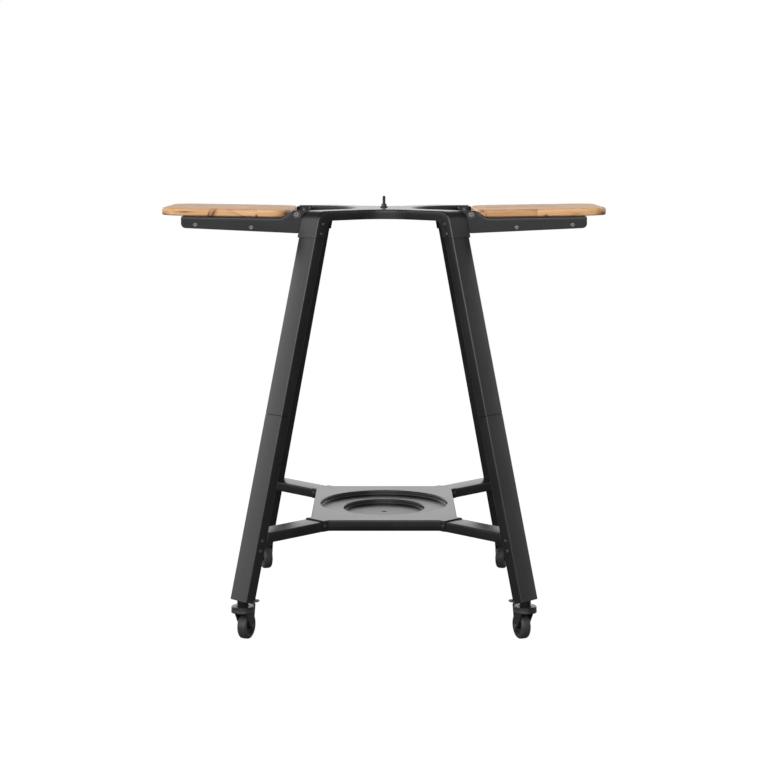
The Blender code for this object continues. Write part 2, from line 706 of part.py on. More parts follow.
def build_pivot_bolt():
    """The bolt at -y, through the bracket's web and the frame's ear, about the pivot."""
    head, nut = WEB_FACE + GAP, EAR_INNER_FACE - GAP
    profile = [(PIVOT_NUT_RADIUS, nut - PIVOT_NUT_HEIGHT), (PIVOT_NUT_RADIUS, nut),
               (PIVOT_RADIUS, nut), (PIVOT_RADIUS, head), (PIVOT_HEAD_RADIUS, head),
               (PIVOT_HEAD_RADIUS, head + PIVOT_HEAD_HEIGHT / 3),
               (PIVOT_HEAD_RADIUS * CROWN_SHARE, head + PIVOT_HEAD_HEIGHT)]
    return moved(across(turned(profile, 16)), Matrix.Diagonal((1, -1, 1, 1)))


def mirrored(mesh):
    return moved(mesh.copy(), Matrix.Diagonal((1, -1, 1, 1)))


def build_side_shelves():
    near_bracket, board, rail, near_bolt = build_bracket(), build_board(), build_rail(), build_pivot_bolt()
    far_bracket, far_bolt = mirrored(near_bracket), mirrored(near_bolt)
    for side, side_x, turn in (("left", -1, pi), ("right", 1, 0)):
        place = (side_x * PIVOT_X, 0, PIVOT_HEIGHT)
        shelf = add_empty(f"{side}_shelf_pivot", place, (0, -SHELF_TILT, turn))
        pivot = add_empty(f"{side}_pivot_line", place, (0, 0, turn))
        add_object(f"shelf_board_{side}", board, WOOD, shelf)
        front_is_near = side_x > 0
        for end, is_near in (("front", front_is_near), ("rear", not front_is_near)):
            add_object(f"shelf_bracket_{end}_{side}", near_bracket if is_near else far_bracket,
                       BLACK_STEEL, shelf)
            add_object(f"pivot_bolt_{end}_{side}", near_bolt if is_near else far_bolt,
                       DARK_BOLT, pivot)
        for number, x in enumerate(RAIL_PLACES):
            place_name = ("inner", "outer")[number]
            add_object(f"cross_rail_{place_name}_{side}", rail, BLACK_STEEL, shelf,
                       (x, 0, rail_height(x)))


# Casters

def build_fork():
    """Raceway cup with two cheeks, which end round the axle and round the pedal's pin."""
    bore = STEM_RADIUS + BOLT_PLAY
    roof = CUP_TOP - CUP_ROOF
    edge = CUP_WALL / 3
    cup = turned([(bore, roof), (CUP_RADIUS - CUP_WALL, roof), (CUP_RADIUS - CUP_WALL, CUP_BOTTOM),
                  (CUP_RADIUS, CUP_BOTTOM), (CUP_RADIUS, CUP_TOP - edge),
                  (CUP_RADIUS - edge, CUP_TOP), (bore, CUP_TOP)], 24, closed=True)
    pedal = pedal_place()
    inside_roof = CUP_TOP - CUP_ROOF / 2
    cheek = [(-CHEEK_FRONT, inside_roof), (-CHEEK_FRONT, CUP_BOTTOM + CUP_WALL / 2)]
    cheek += arc((TRAIL, WHEEL_RADIUS), CHEEK_END_RADIUS, radians(200), radians(340), 6)
    cheek += arc(pedal, PEDAL_EAR_RADIUS, radians(-20), radians(110), 6)
    cheek.append((CHEEK_BACK, inside_roof))
    cheeks = [side_prism(cheek, side * CHEEK_INNER, side * CHEEK_OUTER) for side in (-1, 1)]
    axle_hole, pin_hole = AXLE_RADIUS + BOLT_PLAY, PEDAL_PIN_RADIUS + BOLT_PLAY
    reach = 2 * CHEEK_OUTER
    holes = [across(turned([(axle_hole, -reach), (axle_hole, reach)], 12), TRAIL, WHEEL_RADIUS),
             across(turned([(pin_hole, -reach), (pin_hole, reach)], 12), *pedal)]
    return cut(joined(cup, *cheeks), *holes)


def pedal_place():
    return TRAIL + PEDAL_OUT, CUP_TOP - PEDAL_DROP


def build_wheel():
    """A solid tyre on a dished hub, about its own axle."""
    half, bore = WHEEL_WIDTH / 2, AXLE_RADIUS + BOLT_PLAY
    dish = half - HUB_DISH
    profile = [(bore, -half), (HUB_RADIUS / 3, -half), (HUB_RADIUS, -dish),
               (WHEEL_RADIUS - WHEEL_SHOULDER, -half), (WHEEL_RADIUS, -half + WHEEL_SHOULDER)]
    profile += [(radius, -height) for radius, height in reversed(profile)]
    return across(turned(profile, 24, closed=True))


def build_axle():
    head = CHEEK_OUTER + GAP
    tip = head + AXLE_HEAD_HEIGHT
    profile = [(AXLE_HEAD_RADIUS * CROWN_SHARE, -tip), (AXLE_HEAD_RADIUS, -tip + AXLE_HEAD_HEIGHT / 2),
               (AXLE_HEAD_RADIUS, -head), (AXLE_RADIUS, -head), (AXLE_RADIUS, head),
               (AXLE_HEAD_RADIUS, head), (AXLE_HEAD_RADIUS, tip - AXLE_HEAD_HEIGHT / 2),
               (AXLE_HEAD_RADIUS * CROWN_SHARE, tip)]
    return across(turned(profile, 12))


def build_stem():
    """Boss under the leg, pin up into its plug, and pin down through the fork's roof."""
    head = CUP_TOP - CUP_ROOF - GAP
    profile = [(STEM_HEAD_RADIUS, head - STEM_HEAD_HEIGHT), (STEM_HEAD_RADIUS, head),
               (STEM_RADIUS, head), (STEM_RADIUS, CUP_TOP + GAP), (BOSS_RADIUS, CUP_TOP + GAP),
               (BOSS_RADIUS, FOOT_HEIGHT - GAP), (STEM_RADIUS, FOOT_HEIGHT - GAP),
               (STEM_RADIUS, FOOT_HEIGHT + STEM_RISE)]
    return turned(profile, 16)


def build_pedal():
    """Barrel with pins in the cheeks, a neck to the wide plate, and a cam over the wheel."""
    half_barrel = CHEEK_INNER - GAP
    pin_end = CHEEK_OUTER
    barrel = across(turned([(PEDAL_PIN_RADIUS, -pin_end), (PEDAL_PIN_RADIUS, -half_barrel),
                            (PEDAL_BARREL_RADIUS, -half_barrel), (PEDAL_BARREL_RADIUS, half_barrel),
                            (PEDAL_PIN_RADIUS, half_barrel), (PEDAL_PIN_RADIUS, pin_end)], 12))
    plate_start, plate_low = PEDAL_EAR_RADIUS + PEDAL_PLATE_ROOM, PEDAL_BARREL_RADIUS
    plate_high = plate_low + PEDAL_THICKNESS
    plate_end = plate_start + PEDAL_LENGTH
    lip = PEDAL_THICKNESS / 2
    plate = side_prism([(plate_start, plate_low), (plate_end, plate_low + lip),
                        (plate_end, plate_high + lip), (plate_start, plate_high)],
                       -PEDAL_WIDTH / 2, PEDAL_WIDTH / 2)
    neck_half = half_barrel - GAP
    neck = side_prism([(0, 0), (plate_start + 2 * PEDAL_THICKNESS, plate_low + lip),
                       (plate_start + PEDAL_THICKNESS, plate_high - lip / 2),
                       (0, PEDAL_BARREL_RADIUS - lip / 2)], -neck_half, neck_half)
    axle_line = np.arctan2(WHEEL_RADIUS - pedal_place()[1], -PEDAL_OUT)
    rest = axle_line + PEDAL_STROKE
    tip = Vector((cos(rest), sin(rest))) * CAM_REACH
    side = Vector((-sin(rest), cos(rest))) * CAM_THICKNESS / 2
    narrow = side * CAM_TAPER
    cam = side_prism([tuple(-side), tuple(tip - narrow), tuple(tip + narrow), tuple(side)],
                     -CAM_WIDTH / 2, CAM_WIDTH / 2)
    return joined(barrel, neck, plate, cam)


def build_casters():
    fork, wheel, axle, stem, pedal = (
        build_fork(), build_wheel(), build_axle(), build_stem(), build_pedal())
    pedal_x, pedal_z = pedal_place()
    reach = leg_reach(FOOT_HEIGHT) / sqrt(2)
    for name, (side_x, side_y) in CORNERS.items():
        turn = np.arctan2(-side_y * cos(TRAIL_TURN), -side_x * sin(TRAIL_TURN))
        place = (side_x * reach, side_y * (reach + AXIS_SHIFT), 0)
        swivel = add_empty(f"caster_{name}", place, (0, 0, turn))
        add_object(f"caster_stem_{name}", stem, DARK_BOLT, None, place)
        add_object(f"caster_fork_{name}", fork, BLACK_STEEL, swivel)
        add_object(f"caster_wheel_{name}", wheel, RUBBER, swivel, (TRAIL, 0, WHEEL_RADIUS))
        add_object(f"caster_axle_{name}", axle, DARK_BOLT, swivel, (TRAIL, 0, WHEEL_RADIUS))
        add_object(f"brake_pedal_{name}", pedal, RUBBER, swivel, (pedal_x, 0, pedal_z))


build_top_frame()
build_stud()
build_legs()
build_lower_shelf()
build_shelf_arms()
build_side_shelves()
build_casters()
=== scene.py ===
import json

import bmesh
import bpy
import numpy as np
from mathutils import Matrix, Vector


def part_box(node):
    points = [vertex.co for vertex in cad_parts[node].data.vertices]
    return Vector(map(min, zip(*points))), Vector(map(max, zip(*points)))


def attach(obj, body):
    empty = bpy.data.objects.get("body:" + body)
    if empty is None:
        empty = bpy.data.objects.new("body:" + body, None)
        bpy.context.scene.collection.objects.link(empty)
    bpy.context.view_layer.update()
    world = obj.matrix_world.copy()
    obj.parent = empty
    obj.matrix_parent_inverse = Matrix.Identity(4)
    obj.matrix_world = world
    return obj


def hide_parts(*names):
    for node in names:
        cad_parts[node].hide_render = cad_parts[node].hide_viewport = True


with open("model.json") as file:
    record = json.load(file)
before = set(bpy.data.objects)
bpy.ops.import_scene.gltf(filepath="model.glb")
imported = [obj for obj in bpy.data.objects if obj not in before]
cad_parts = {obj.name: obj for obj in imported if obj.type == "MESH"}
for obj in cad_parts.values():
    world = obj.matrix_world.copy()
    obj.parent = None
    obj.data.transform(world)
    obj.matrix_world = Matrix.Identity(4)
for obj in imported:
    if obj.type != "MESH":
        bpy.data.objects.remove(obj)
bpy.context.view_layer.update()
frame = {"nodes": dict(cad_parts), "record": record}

corners = {"front_left": (-1, -1), "front_right": (1, -1), "rear_right": (1, 1), "rear_left": (-1, 1)}
joints = {joint["name"]: joint for joint in frame["record"]["behaviour"]["joints"]}
half = np.sqrt(0.5)  # legs and arms stand at 45 degrees in plan, and this is its sine and cosine


def heights(node):  # a solid's lowest and highest z
    low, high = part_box(node)
    return low[2], high[2]


# Where things are, read from the CAD solids
footX, footY = np.abs(np.array(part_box("caster_stem_rear_right"))).mean(axis=0)[:2]
footHeight, legTop = heights("lower_leg_rear_right")[0], heights("upper_leg_rear_right")[1]
sleeveBottom, frameTop = heights("top_frame")
plateBottom, plateTop = heights("lower_shelf")
armBottom, armTop = heights("shelf_arm_rear_right")
pivotX, _, pivotHeight = joints["right_shelf_fold"]["pos_m"]
axisShift = footY - footX  # the arms' axes meet this far in front of and behind the middle
print("frame read:", len(frame["nodes"]), "nodes")


# Arrays and meshes

def smoothStep(t):  # three t squared less two t cubed, between 0 and 1
    t = np.clip(t, 0, 1)
    return t * t * (3 - 2 * t)


def quarterTurn(count):  # angles from 0 to 90 degrees
    return np.linspace(0, np.pi / 2, count)


def fullTurn(count):  # angles once round, without the last, which is the first
    return np.linspace(0, 2 * np.pi, count, endpoint=False)


def roundedRect(halfX, halfY, radius, steps=6):
    # four quarter circles of one radius, centred a radius in from each corner of the rectangle
    quarters = np.arange(4)[:, None] * np.pi / 2 + quarterTurn(steps)
    signX = np.array([1, -1, -1, 1])[:, None]
    signY = np.array([1, 1, -1, -1])[:, None]
    x = signX * (halfX - radius) + radius * np.cos(quarters)
    y = signY * (halfY - radius) + radius * np.sin(quarters)
    return x.ravel(), y.ravel()


def hexagon(flat, count):
    # radius round a hexagon: its flat's distance over the cosine of the angle from the flat's middle
    return flat / np.cos((fullTurn(count) + np.pi / 6) % (np.pi / 3) - np.pi / 6)


def turnedGrid(radii, rowHeights, count=48):
    # rows of radius and height carried round z: x and y are the radius times cosine and sine of the
    # turn. A row's radius is one number, or one for each angle
    radii = np.stack([np.broadcast_to(radius, count) for radius in radii])
    rowHeights = np.reshape(rowHeights, (-1, 1)) + 0 * radii
    turn = fullTurn(count)
    return np.stack([radii * np.cos(turn), radii * np.sin(turn), rowHeights], axis=-1)


def prismGrid(x, z, near, far):  # an outline in x and z, drawn along y from near to far
    return np.stack([np.stack([x, np.full_like(x, y), z], axis=-1) for y in (near, far)])


def placed(points, matrix):  # every point through a 4 by 4 matrix
    return points @ matrix[:3, :3].T + matrix[:3, 3]


def frameOf(across, out, up, origin):  # a matrix whose columns are three directions and a place
    matrix = np.eye(4)
    matrix[:3, 0], matrix[:3, 1], matrix[:3, 2], matrix[:3, 3] = across, out, up, origin
    return matrix


def facing(direction, origin):  # a matrix whose z runs along the direction
    up = np.array(direction, float)
    up /= np.linalg.norm(up)
    out = np.cross(up, [1, 0, 0] if abs(up[0]) < 0.8 else [0, 1, 0])
    out /= np.linalg.norm(out)
    return frameOf(np.cross(out, up), out, up, origin)


unmoved = np.eye(4)


class Part:
    # collects grids of points, each put in its spot, then turns them into one mesh
    def __init__(self):
        self.points, self.faces, self.start = [], [], 0

    def add(self, grid, spot=unmoved, around=False, along=False, caps=False, flip=False):
        rows, columns = grid.shape[:2]
        index = np.arange(rows * columns).reshape(rows, columns) + self.start
        ends = [index[0].tolist()[::-1], index[-1].tolist()]
        if around:
            index = np.concatenate([index, index[:, :1]], axis=1)
        if along:
            index = np.concatenate([index, index[:1]], axis=0)
        quads = np.stack([index[:-1, :-1], index[:-1, 1:], index[1:, 1:], index[1:, :-1]], axis=-1)
        quads = quads.reshape(-1, 4)
        self.faces += (quads[:, ::-1] if flip else quads).tolist()
        if caps:
            self.faces += ends
        self.points.append(placed(grid.reshape(-1, 3), spot))
        self.start += rows * columns
        return self

    def solid(self, grid, spot=unmoved):  # rows closed round, with a cap at both ends
        return self.add(grid, spot, around=True, caps=True)

    def loop(self, grid, spot=unmoved):  # rows closed round, and the last joined to the first
        return self.add(grid, spot, around=True, along=True)

    def quarters(self, grid, flip=False):  # one quarter of a sheet, mirrored into all four
        for sideX, sideY in corners.values():
            self.add(grid, np.diag([sideX, sideY, 1, 1]), flip=(sideX * sideY < 0) != flip)

    def mesh(self, name, sheet=False, sharp=35):
        mesh = bpy.data.meshes.new(name)
        mesh.from_pydata(np.concatenate(self.points), [], self.faces)
        shape = bmesh.new()
        shape.from_mesh(mesh)
        bmesh.ops.remove_doubles(shape, verts=shape.verts, dist=2e-6)
        bmesh.ops.dissolve_degenerate(shape, edges=shape.edges, dist=1e-7)
        bmesh.ops.recalc_face_normals(shape, faces=shape.faces)
        if sheet and sum(face.normal.z * face.calc_area() for face in shape.faces) < 0:
            bmesh.ops.reverse_faces(shape, faces=shape.faces)
        shape.to_mesh(mesh)
        shape.free()
        smoothed(mesh, sharp)
        return mesh


def smoothed(mesh, sharp):  # smooth shading, but for edges past an angle
    mesh.shade_smooth()
    mesh.set_sharp_from_angle(angle=np.radians(sharp))


def inScene(name, data):
    item = bpy.data.objects.new(name, data)
    bpy.context.scene.collection.objects.link(item)
    return item


def piece(name, part, finish, nodes=(), body="stand", sharp=35, thickness=0, even=True,
          bevel=0, segments=2):
    item = inScene(name, part.mesh(name.split(".")[0], thickness > 0, sharp))
    item.data.materials.append(finish)
    if thickness:
        wall = item.modifiers.new("wall", "SOLIDIFY")
        wall.thickness, wall.offset, wall.use_even_offset = thickness, -1, even
    if bevel:
        edge = item.modifiers.new("edge", "BEVEL")
        edge.width, edge.segments, edge.limit_method = bevel, segments, "ANGLE"
        edge.angle_limit, edge.harden_normals = np.radians(40), True
    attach(item, body)
    if nodes:
        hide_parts(*nodes)
    return item


# Shader expressions

class Field:
    # a socket that adds Math nodes when it is used in an expression
    def __init__(self, finish, socket):
        self.finish, self.socket = finish, socket

    def maths(self, operation, *values):
        return self.finish.node("ShaderNodeMath", {"operation": operation}, dict(enumerate(values)))

    def __add__(self, other):
        return self.maths("ADD", self, other)

    def __sub__(self, other):
        return self.maths("SUBTRACT", self, other)

    def __rsub__(self, other):
        return self.maths("SUBTRACT", other, self)

    def __mul__(self, other):
        return self.maths("MULTIPLY", self, other)

    def __truediv__(self, other):
        return self.maths("DIVIDE", self, other)

    def __pow__(self, other):
        return self.maths("POWER", self, other)

    __radd__, __rmul__ = __add__, __mul__

    def size(self):  # without its sign
        return self.maths("ABSOLUTE", self)

    def whole(self):
        return self.maths("FLOOR", self)

    def ramp(self, low, high):  # 0 at low, 1 at high, smooth between
        return self.finish.node("ShaderNodeMapRange", {"interpolation_type": "SMOOTHSTEP"},
                                {"Value": self, "From Min": low, "From Max": high})


class Finish:
    # one material or world: its nodes, its Principled shader and what feeds them
    def __init__(self, name, tree=None):
        if tree is None:
            self.material = bpy.data.materials.new(name)
            self.material.use_nodes = True
            tree = self.material.node_tree
        self.tree = tree

    def first(self, kind):  # the first node of a type
        return next(node for node in self.tree.nodes if node.type == kind)

    def node(self, kind, settings=None, sockets=None, output=0):
        made = self.tree.nodes.new(kind)
        for key, value in (settings or {}).items():
            setattr(made, key, value)
        self.feed(made, sockets or {})
        return Field(self, made.outputs[output]) if output is not None else made

    def feed(self, made, sockets):
        for key, value in sockets.items():
            socket = made.inputs[key]
            if isinstance(value, Field):
                self.tree.links.new(value.socket, socket)
            else:
                socket.default_value = value

    def place(self, scale=(1, 1, 1), move=(0, 0, 0)):  # object coordinates, scaled and moved
        where = self.node("ShaderNodeTexCoord", output="Object")
        return self.node("ShaderNodeMapping", {}, {"Vector": where, "Scale": scale, "Location": move})

    def split(self, vector):  # its x, y and z
        parts = self.node("ShaderNodeSeparateXYZ", {}, {"Vector": vector}, None)
        return [Field(self, socket) for socket in parts.outputs]

    def join(self, x, y, z):
        return self.node("ShaderNodeCombineXYZ", {}, {"X": x, "Y": y, "Z": z})

    def noise(self, where, scale, detail=3, rough=0.5, warp=0):
        return self.node("ShaderNodeTexNoise", {}, {
            "Vector": where, "Scale": scale, "Detail": detail, "Roughness": rough, "Distortion": warp})

    def pick(self, value):  # a random share for each value
        return self.node("ShaderNodeTexWhiteNoise", {"noise_dimensions": "1D"}, {"W": value})

    def mix(self, factor, first, second):  # colours
        return self.node("ShaderNodeMix", {"data_type": "RGBA"}, {0: factor, 6: first, 7: second}, 2)

    def bump(self, height, distance, strength):
        return self.node("ShaderNodeBump", {}, {
            "Height": height, "Distance": distance, "Strength": strength})

    def shade(self, **sockets):
        self.feed(self.first("BSDF_PRINCIPLED"), {key.replace("_", " "): sockets[key] for key in sockets})
        return self.material


def linear(bytes255, tint=1.0):  # a screen colour as a linear one, opaque
    value = np.array(bytes255) * tint / 255
    value = np.where(value <= 0.04045, value / 12.92, ((value + 0.055) / 1.055) ** 2.4)
    return (*value.tolist(), 1.0)


# Powder coat: a slightly cloudy black with orange peel and a little dust. Each noise has a scale per
# metre, its detail and its roughness. The tints make the casters lighter and their bosses darker; the
# bosses' darker tint is painted shade, where they sit under the legs

powder = {"dark": (27, 27, 28), "light": (34, 34, 35), "dust": (90, 90, 90), "roughness": 0.24,
          "cloudNoise": (9, 4, 0.6), "peelNoise": (700, 2, 0.5), "dustNoise": (260, 3, 0.7),
          "cloudFade": (0.3, 0.7), "dustFade": (0.66, 0.8), "dustShare": 0.15, "cloudRough": 0.05,
          "peelRough": 0.05, "dustRough": 0.08, "depth": 0.00001, "strength": 0.2,
          # the casters' lighter tint is partly their own finish and partly a painted highlight on the cup
          # tops and pedals
          "tints": {"satinBlackPowderCoat": 1.0, "casterBlack": 1.15, "bossBlack": 0.6}}


def powderCoat(name, tint):
    finish = Finish(name)
    where = finish.place()
    cloud = finish.noise(where, *powder["cloudNoise"])
    peel = finish.noise(where, *powder["peelNoise"])
    dust = finish.noise(where, *powder["dustNoise"]).ramp(*powder["dustFade"])
    colour = finish.mix(cloud.ramp(*powder["cloudFade"]), linear(powder["dark"], tint),
                        linear(powder["light"], tint))
    colour = finish.mix(dust * powder["dustShare"], colour, linear(powder["dust"]))
    rough = (powder["roughness"] + cloud * powder["cloudRough"] + peel * powder["peelRough"]
             + dust * powder["dustRough"])
    return finish.shade(Base_Color=colour, Roughness=rough,
                        Normal=finish.bump(peel, powder["depth"], powder["strength"]))


# Bolts, stud, tyres and hubs: each look's colour, worn colour and roughness. Grain and patches have a
# noise scale per metre, its detail and its roughness; patches fade out between two values of the noise

worn = {
    "steel": {"metallic": 0.85, "grain": (900, 4, 0.6), "patch": (160, 4, 0.6), "fade": (0.45, 0.75),
              "wear": 0.6, "rougher": 0.12, "depth": 0.00002, "strength": 0.3,
              "looks": {"blackenedBolt": ((88, 88, 90), (124, 124, 125), 0.42),
                        "shelfBolt": ((118, 118, 120), (150, 150, 150), 0.4),
                        "studSteel": ((100, 100, 102), (140, 140, 140), 0.35)}},
    "moulded": {"metallic": 0, "grain": (1900, 3, 0.6), "patch": (120, 5, 0.7), "fade": (0.45, 0.8),
                "wear": 0.7, "rougher": 0.1, "depth": 0.00003, "strength": 0.4,
                "looks": {"wheelRubber": ((56, 56, 57), (70, 70, 71), 0.5),
                          "hubPlastic": ((20, 20, 21), (30, 30, 30), 0.36)}}}


def wornFinish(kind, name):
    colour, wornColour, roughness = kind["looks"][name]
    finish = Finish(name)
    where = finish.place()
    grain = finish.noise(where, *kind["grain"])
    patch = finish.noise(where, *kind["patch"]).ramp(*kind["fade"])
    rough = roughness + (grain if kind["metallic"] else patch) * kind["rougher"]
    return finish.shade(Base_Color=finish.mix(patch * kind["wear"], linear(colour), linear(wornColour)),
                        Metallic=kind["metallic"], Roughness=rough,
                        Normal=finish.bump(grain, kind["depth"], kind["strength"]))


# Oiled boards. Knots, streaks, clouds and pores: how many a metre along and across the grain. A noise
# has its scale, detail, roughness and warp; a fade runs between two values; the rest are shares

wood = {"light": (246, 199, 146), "mid": (229, 171, 115), "dark": (172, 112, 66), "knot": (92, 60, 40),
        "roughness": 0.42, "depth": 0.00012, "staveWidth": 0.052, "staveLength": 0.26,
        "knots": (5.5, 13), "streaks": (3.2, 95), "clouds": (7, 26), "pores": (60, 900),
        "shift": {"left": 0.13, "right": 0.73}, "shiftAcross": 0.37, "staveSeed": (7.3, 1.7, 0.31),
        "wanderScale": 2, "wanderNoise": (3, 2), "streakNoise": (1, 6, 0.62, 0.5),
        "cloudNoise": (1, 4, 0.6, 1.2), "poreNoise": (1, 2, 0.5), "knotPicked": (0.42, 0.5),
        "knotCore": (0.04, 0.13), "knotHalo": (0.1, 0.42), "wanderBend": 0.012, "knotBend": 0.006,
        "streakFade": (0.3, 0.66), "cloudFade": (0.52, 0.78), "staveFade": (0.55, 1.0),
        "poreFade": (0.62, 0.75), "cloudDark": 0.75, "staveDark": 0.4, "haloDark": 0.55,
        "poreDark": 0.3, "markRagged": 1.4, "markDark": ((0.7, 2.6), 0.6), "markKnot": ((0.4, 1.2), 0.85),
        "jointFade": (0.488, 0.498), "jointDark": 0.5, "streakRough": 0.12, "streakBump": 0.4,
        "poreBump": 0.6, "strength": 0.6}
# dark marks in each board, in millimetres: x, y, z, half sizes along them, and how far x leans
# with height. Most are streaks, cracks and blotches in the wood; those on the rounded front corners,
# at both ends of each board, are painted shade where the rounding turns away from the light
woodMarksAndCornerShade = {
    "left": [(-543, -137, 1014, 10, 22, 6, 0), (-419, -178, 1020, 5, 30, 10, 0.5),
             (-431, -178, 1016, 2.2, 30, 12, 0.4), (-360, -178, 1018, 0.9, 20, 8, -2.4),
             (-313, -178, 1013, 2.2, 6, 3, 0), (-237, -165, 1020, 10, 20, 8, 1.0),
             (-490, -176, 1023, 16, 10, 1.5, 0), (-497, -174, 1012, 4, 10, 1.5, 0),
             (-470, 30, 1027, 12, 7, 30, 0), (-330, -70, 1027, 9, 6, 30, 0)],
    "right": [(538, -140, 1018, 12, 30, 6, 0), (398, -178, 1013, 4, 10, 3, 0),
              (243, -165, 1024, 4, 12, 3, 0), (232, -160, 1020, 5, 15, 6, 0.8),
              (470, -178, 1017, 0.7, 20, 6, 2.6), (405, 50, 1027, 11, 7, 30, 0),
              (480, -80, 1027, 8, 5, 30, 0)]}


def oiledWood(label):
    # staves glued side by side along x, each with its own tone, streaked grain and a few knots
    finish = Finish(f"oiledWood.{label}")
    shift = wood["shift"][label]
    light, mid, dark, knot = (linear(wood[key]) for key in ("light", "mid", "dark", "knot"))
    x, y, z = finish.split(finish.place(move=(shift, shift * wood["shiftAcross"], 0)))
    wander = finish.noise(finish.place([wood["wanderScale"]] * 3, (shift, 0, 0)), *wood["wanderNoise"])
    row = (y / wood["staveWidth"]).whole()
    along = (x / wood["staveLength"] + finish.pick(row + 0.5) * 3).whole()
    rowSeed, alongSeed, seed = wood["staveSeed"]
    stave = finish.pick(row * rowSeed + along * alongSeed + seed)

    def grain(kind, across, shift=None):  # a place to look up noise that is long in the grain
        far = x * wood[kind][0]
        return finish.join(far + shift if shift else far, across * wood[kind][1], z * wood[kind][1])

    # the grain bends round each knot: a halo about it moves the lines before they are drawn
    knotAlong, knotAcross = wood["knots"]
    knotPlace = finish.join(x * knotAlong + wander * 0.8, y * knotAcross + stave * 5, z * knotAcross)
    cells = finish.node("ShaderNodeTexVoronoi", {"feature": "F1"}, {"Vector": knotPlace, "Scale": 1.0}, None)
    far, cellColour = (Field(finish, socket) for socket in cells.outputs[:2])
    picked = finish.node("ShaderNodeSeparateColor", {}, {"Color": cellColour}).ramp(*wood["knotPicked"])
    knotCore = (1 - far.ramp(*wood["knotCore"])) * picked
    knotHalo = (1 - far.ramp(*wood["knotHalo"])) * picked
    lineY = y + wander * wood["wanderBend"] + knotHalo * wood["knotBend"] + stave * 0.3
    streak = finish.noise(grain("streaks", lineY, stave * 9), *wood["streakNoise"])
    cloud = finish.noise(grain("clouds", lineY, stave * 4), *wood["cloudNoise"])
    pores = finish.noise(grain("pores", y), *wood["poreNoise"]).ramp(*wood["poreFade"])
    tone = finish.mix(streak.ramp(*wood["streakFade"]), light, mid)
    for share, colour in ((cloud.ramp(*wood["cloudFade"]) * wood["cloudDark"], dark),
                          (stave.ramp(*wood["staveFade"]) * wood["staveDark"], dark),
                          (knotHalo * wood["haloDark"], dark), (knotCore, knot),
                          (pores * wood["poreDark"], dark)):
        tone = finish.mix(share, tone, colour)
    # each mark is an ellipsoid: its distance is the root of the sum of squared shares of half sizes
    markX, markY, markZ = finish.split(finish.place())
    # the marks on the rounded front corners are painted shade; the others are streaks, cracks and blotches in
    # the wood
    for *sizes, lean in woodMarksAndCornerShade[label]:
        atX, atY, atZ, halfX, halfY, halfZ = np.array(sizes) / 1000
        slant = markX - atX - (markZ - atZ) * lean
        far = ((slant / halfX) ** 2 + ((markY - atY) / halfY) ** 2 + ((markZ - atZ) / halfZ) ** 2) ** 0.5
        far = far + (streak - 0.5) * wood["markRagged"]
        for (fade, share), colour in ((wood["markDark"], dark), (wood["markKnot"], knot)):
            tone = finish.mix((1 - far.ramp(*fade)) * share, tone, colour)
    joint = (y / wood["staveWidth"] - row - 0.5).size().ramp(*wood["jointFade"])
    tone = finish.mix(joint * wood["jointDark"], tone, knot)
    height = streak * wood["streakBump"] - pores * wood["poreBump"] - joint
    return finish.shade(Base_Color=tone, Roughness=wood["roughness"] + streak * wood["streakRough"],
                        Normal=finish.bump(height, wood["depth"], wood["strength"]))


blackSteel, casterSteelWithHighlight, bossPaintedShadeSteel = (powderCoat(*look) for look in powder["tints"].items())
darkBolt, shelfBolt, brightSteel, rubber, plastic = (
    wornFinish(kind, name) for kind in worn.values() for name in kind["looks"])
print("finishes made")


# Legs

legs = {"width": 0.060, "depth": 0.030, "corner": 0.004, "wall": 0.002, "tilt": 15.0,
        "seam": 0.536, "seamGap": 0.0006}
legTilt = np.radians(legs["tilt"])


def axisReach(height):  # how far out a leg's axis is, along its arm
    return footX / half - np.tan(legTilt) * (height - footHeight)


def legFrame(corner, height):
    # x across the leg, y out of its outer face, z up along it, at the axis
    plan, up = np.array([*corner, 0]) * half, np.array([0, 0, 1])
    return frameOf([plan[1], -plan[0], 0], np.cos(legTilt) * plan + np.sin(legTilt) * up,
                   np.cos(legTilt) * up - np.sin(legTilt) * plan,
                   plan * axisReach(height) + [0, corner[1] * axisShift, height])


def tubeGrid(halfX, halfY, corner, wall, lowEnd, highEnd):
    # a rounded rectangle swept along z: out over one end, up the outside, and in over the other. The
    # ends give a height for each y
    lip = wall * 0.3
    rows = []
    for inset, end, lift in ((wall, lowEnd, 0), (lip, lowEnd, 0), (0, lowEnd, lip),
                             (0, highEnd, -lip), (lip, highEnd, 0), (wall, highEnd, 0)):
        radius = corner - 0.7 * wall if inset == wall else corner
        x, y = roundedRect(halfX - inset, halfY - inset, radius)
        rows.append(np.stack([x, y, end(y) + lift], axis=-1))
    return np.stack(rows)


def levelEnd(height):  # where a level cut crosses the leg, in the leg's own frame at the seam
    return lambda y: (height - legs["seam"] - y * np.sin(legTilt)) / np.cos(legTilt)


def makeLegs():
    sizes = legs["width"] / 2, legs["depth"] / 2, legs["corner"], legs["wall"]
    gap = legs["seamGap"] / 2
    upper = tubeGrid(*sizes, lambda y: y * 0 + gap, levelEnd(legTop))
    lower = tubeGrid(*sizes, levelEnd(footHeight), lambda y: y * 0 - gap)
    for name, corner in corners.items():
        for label, grid in (("upper", upper), ("lower", lower)):
            piece(f"{label}Leg.{name}", Part().loop(grid, legFrame(corner, legs["seam"])), blackSteel,
                  [f"{label}_leg_{name}"])


makeLegs()
print("legs made")


# Top frame

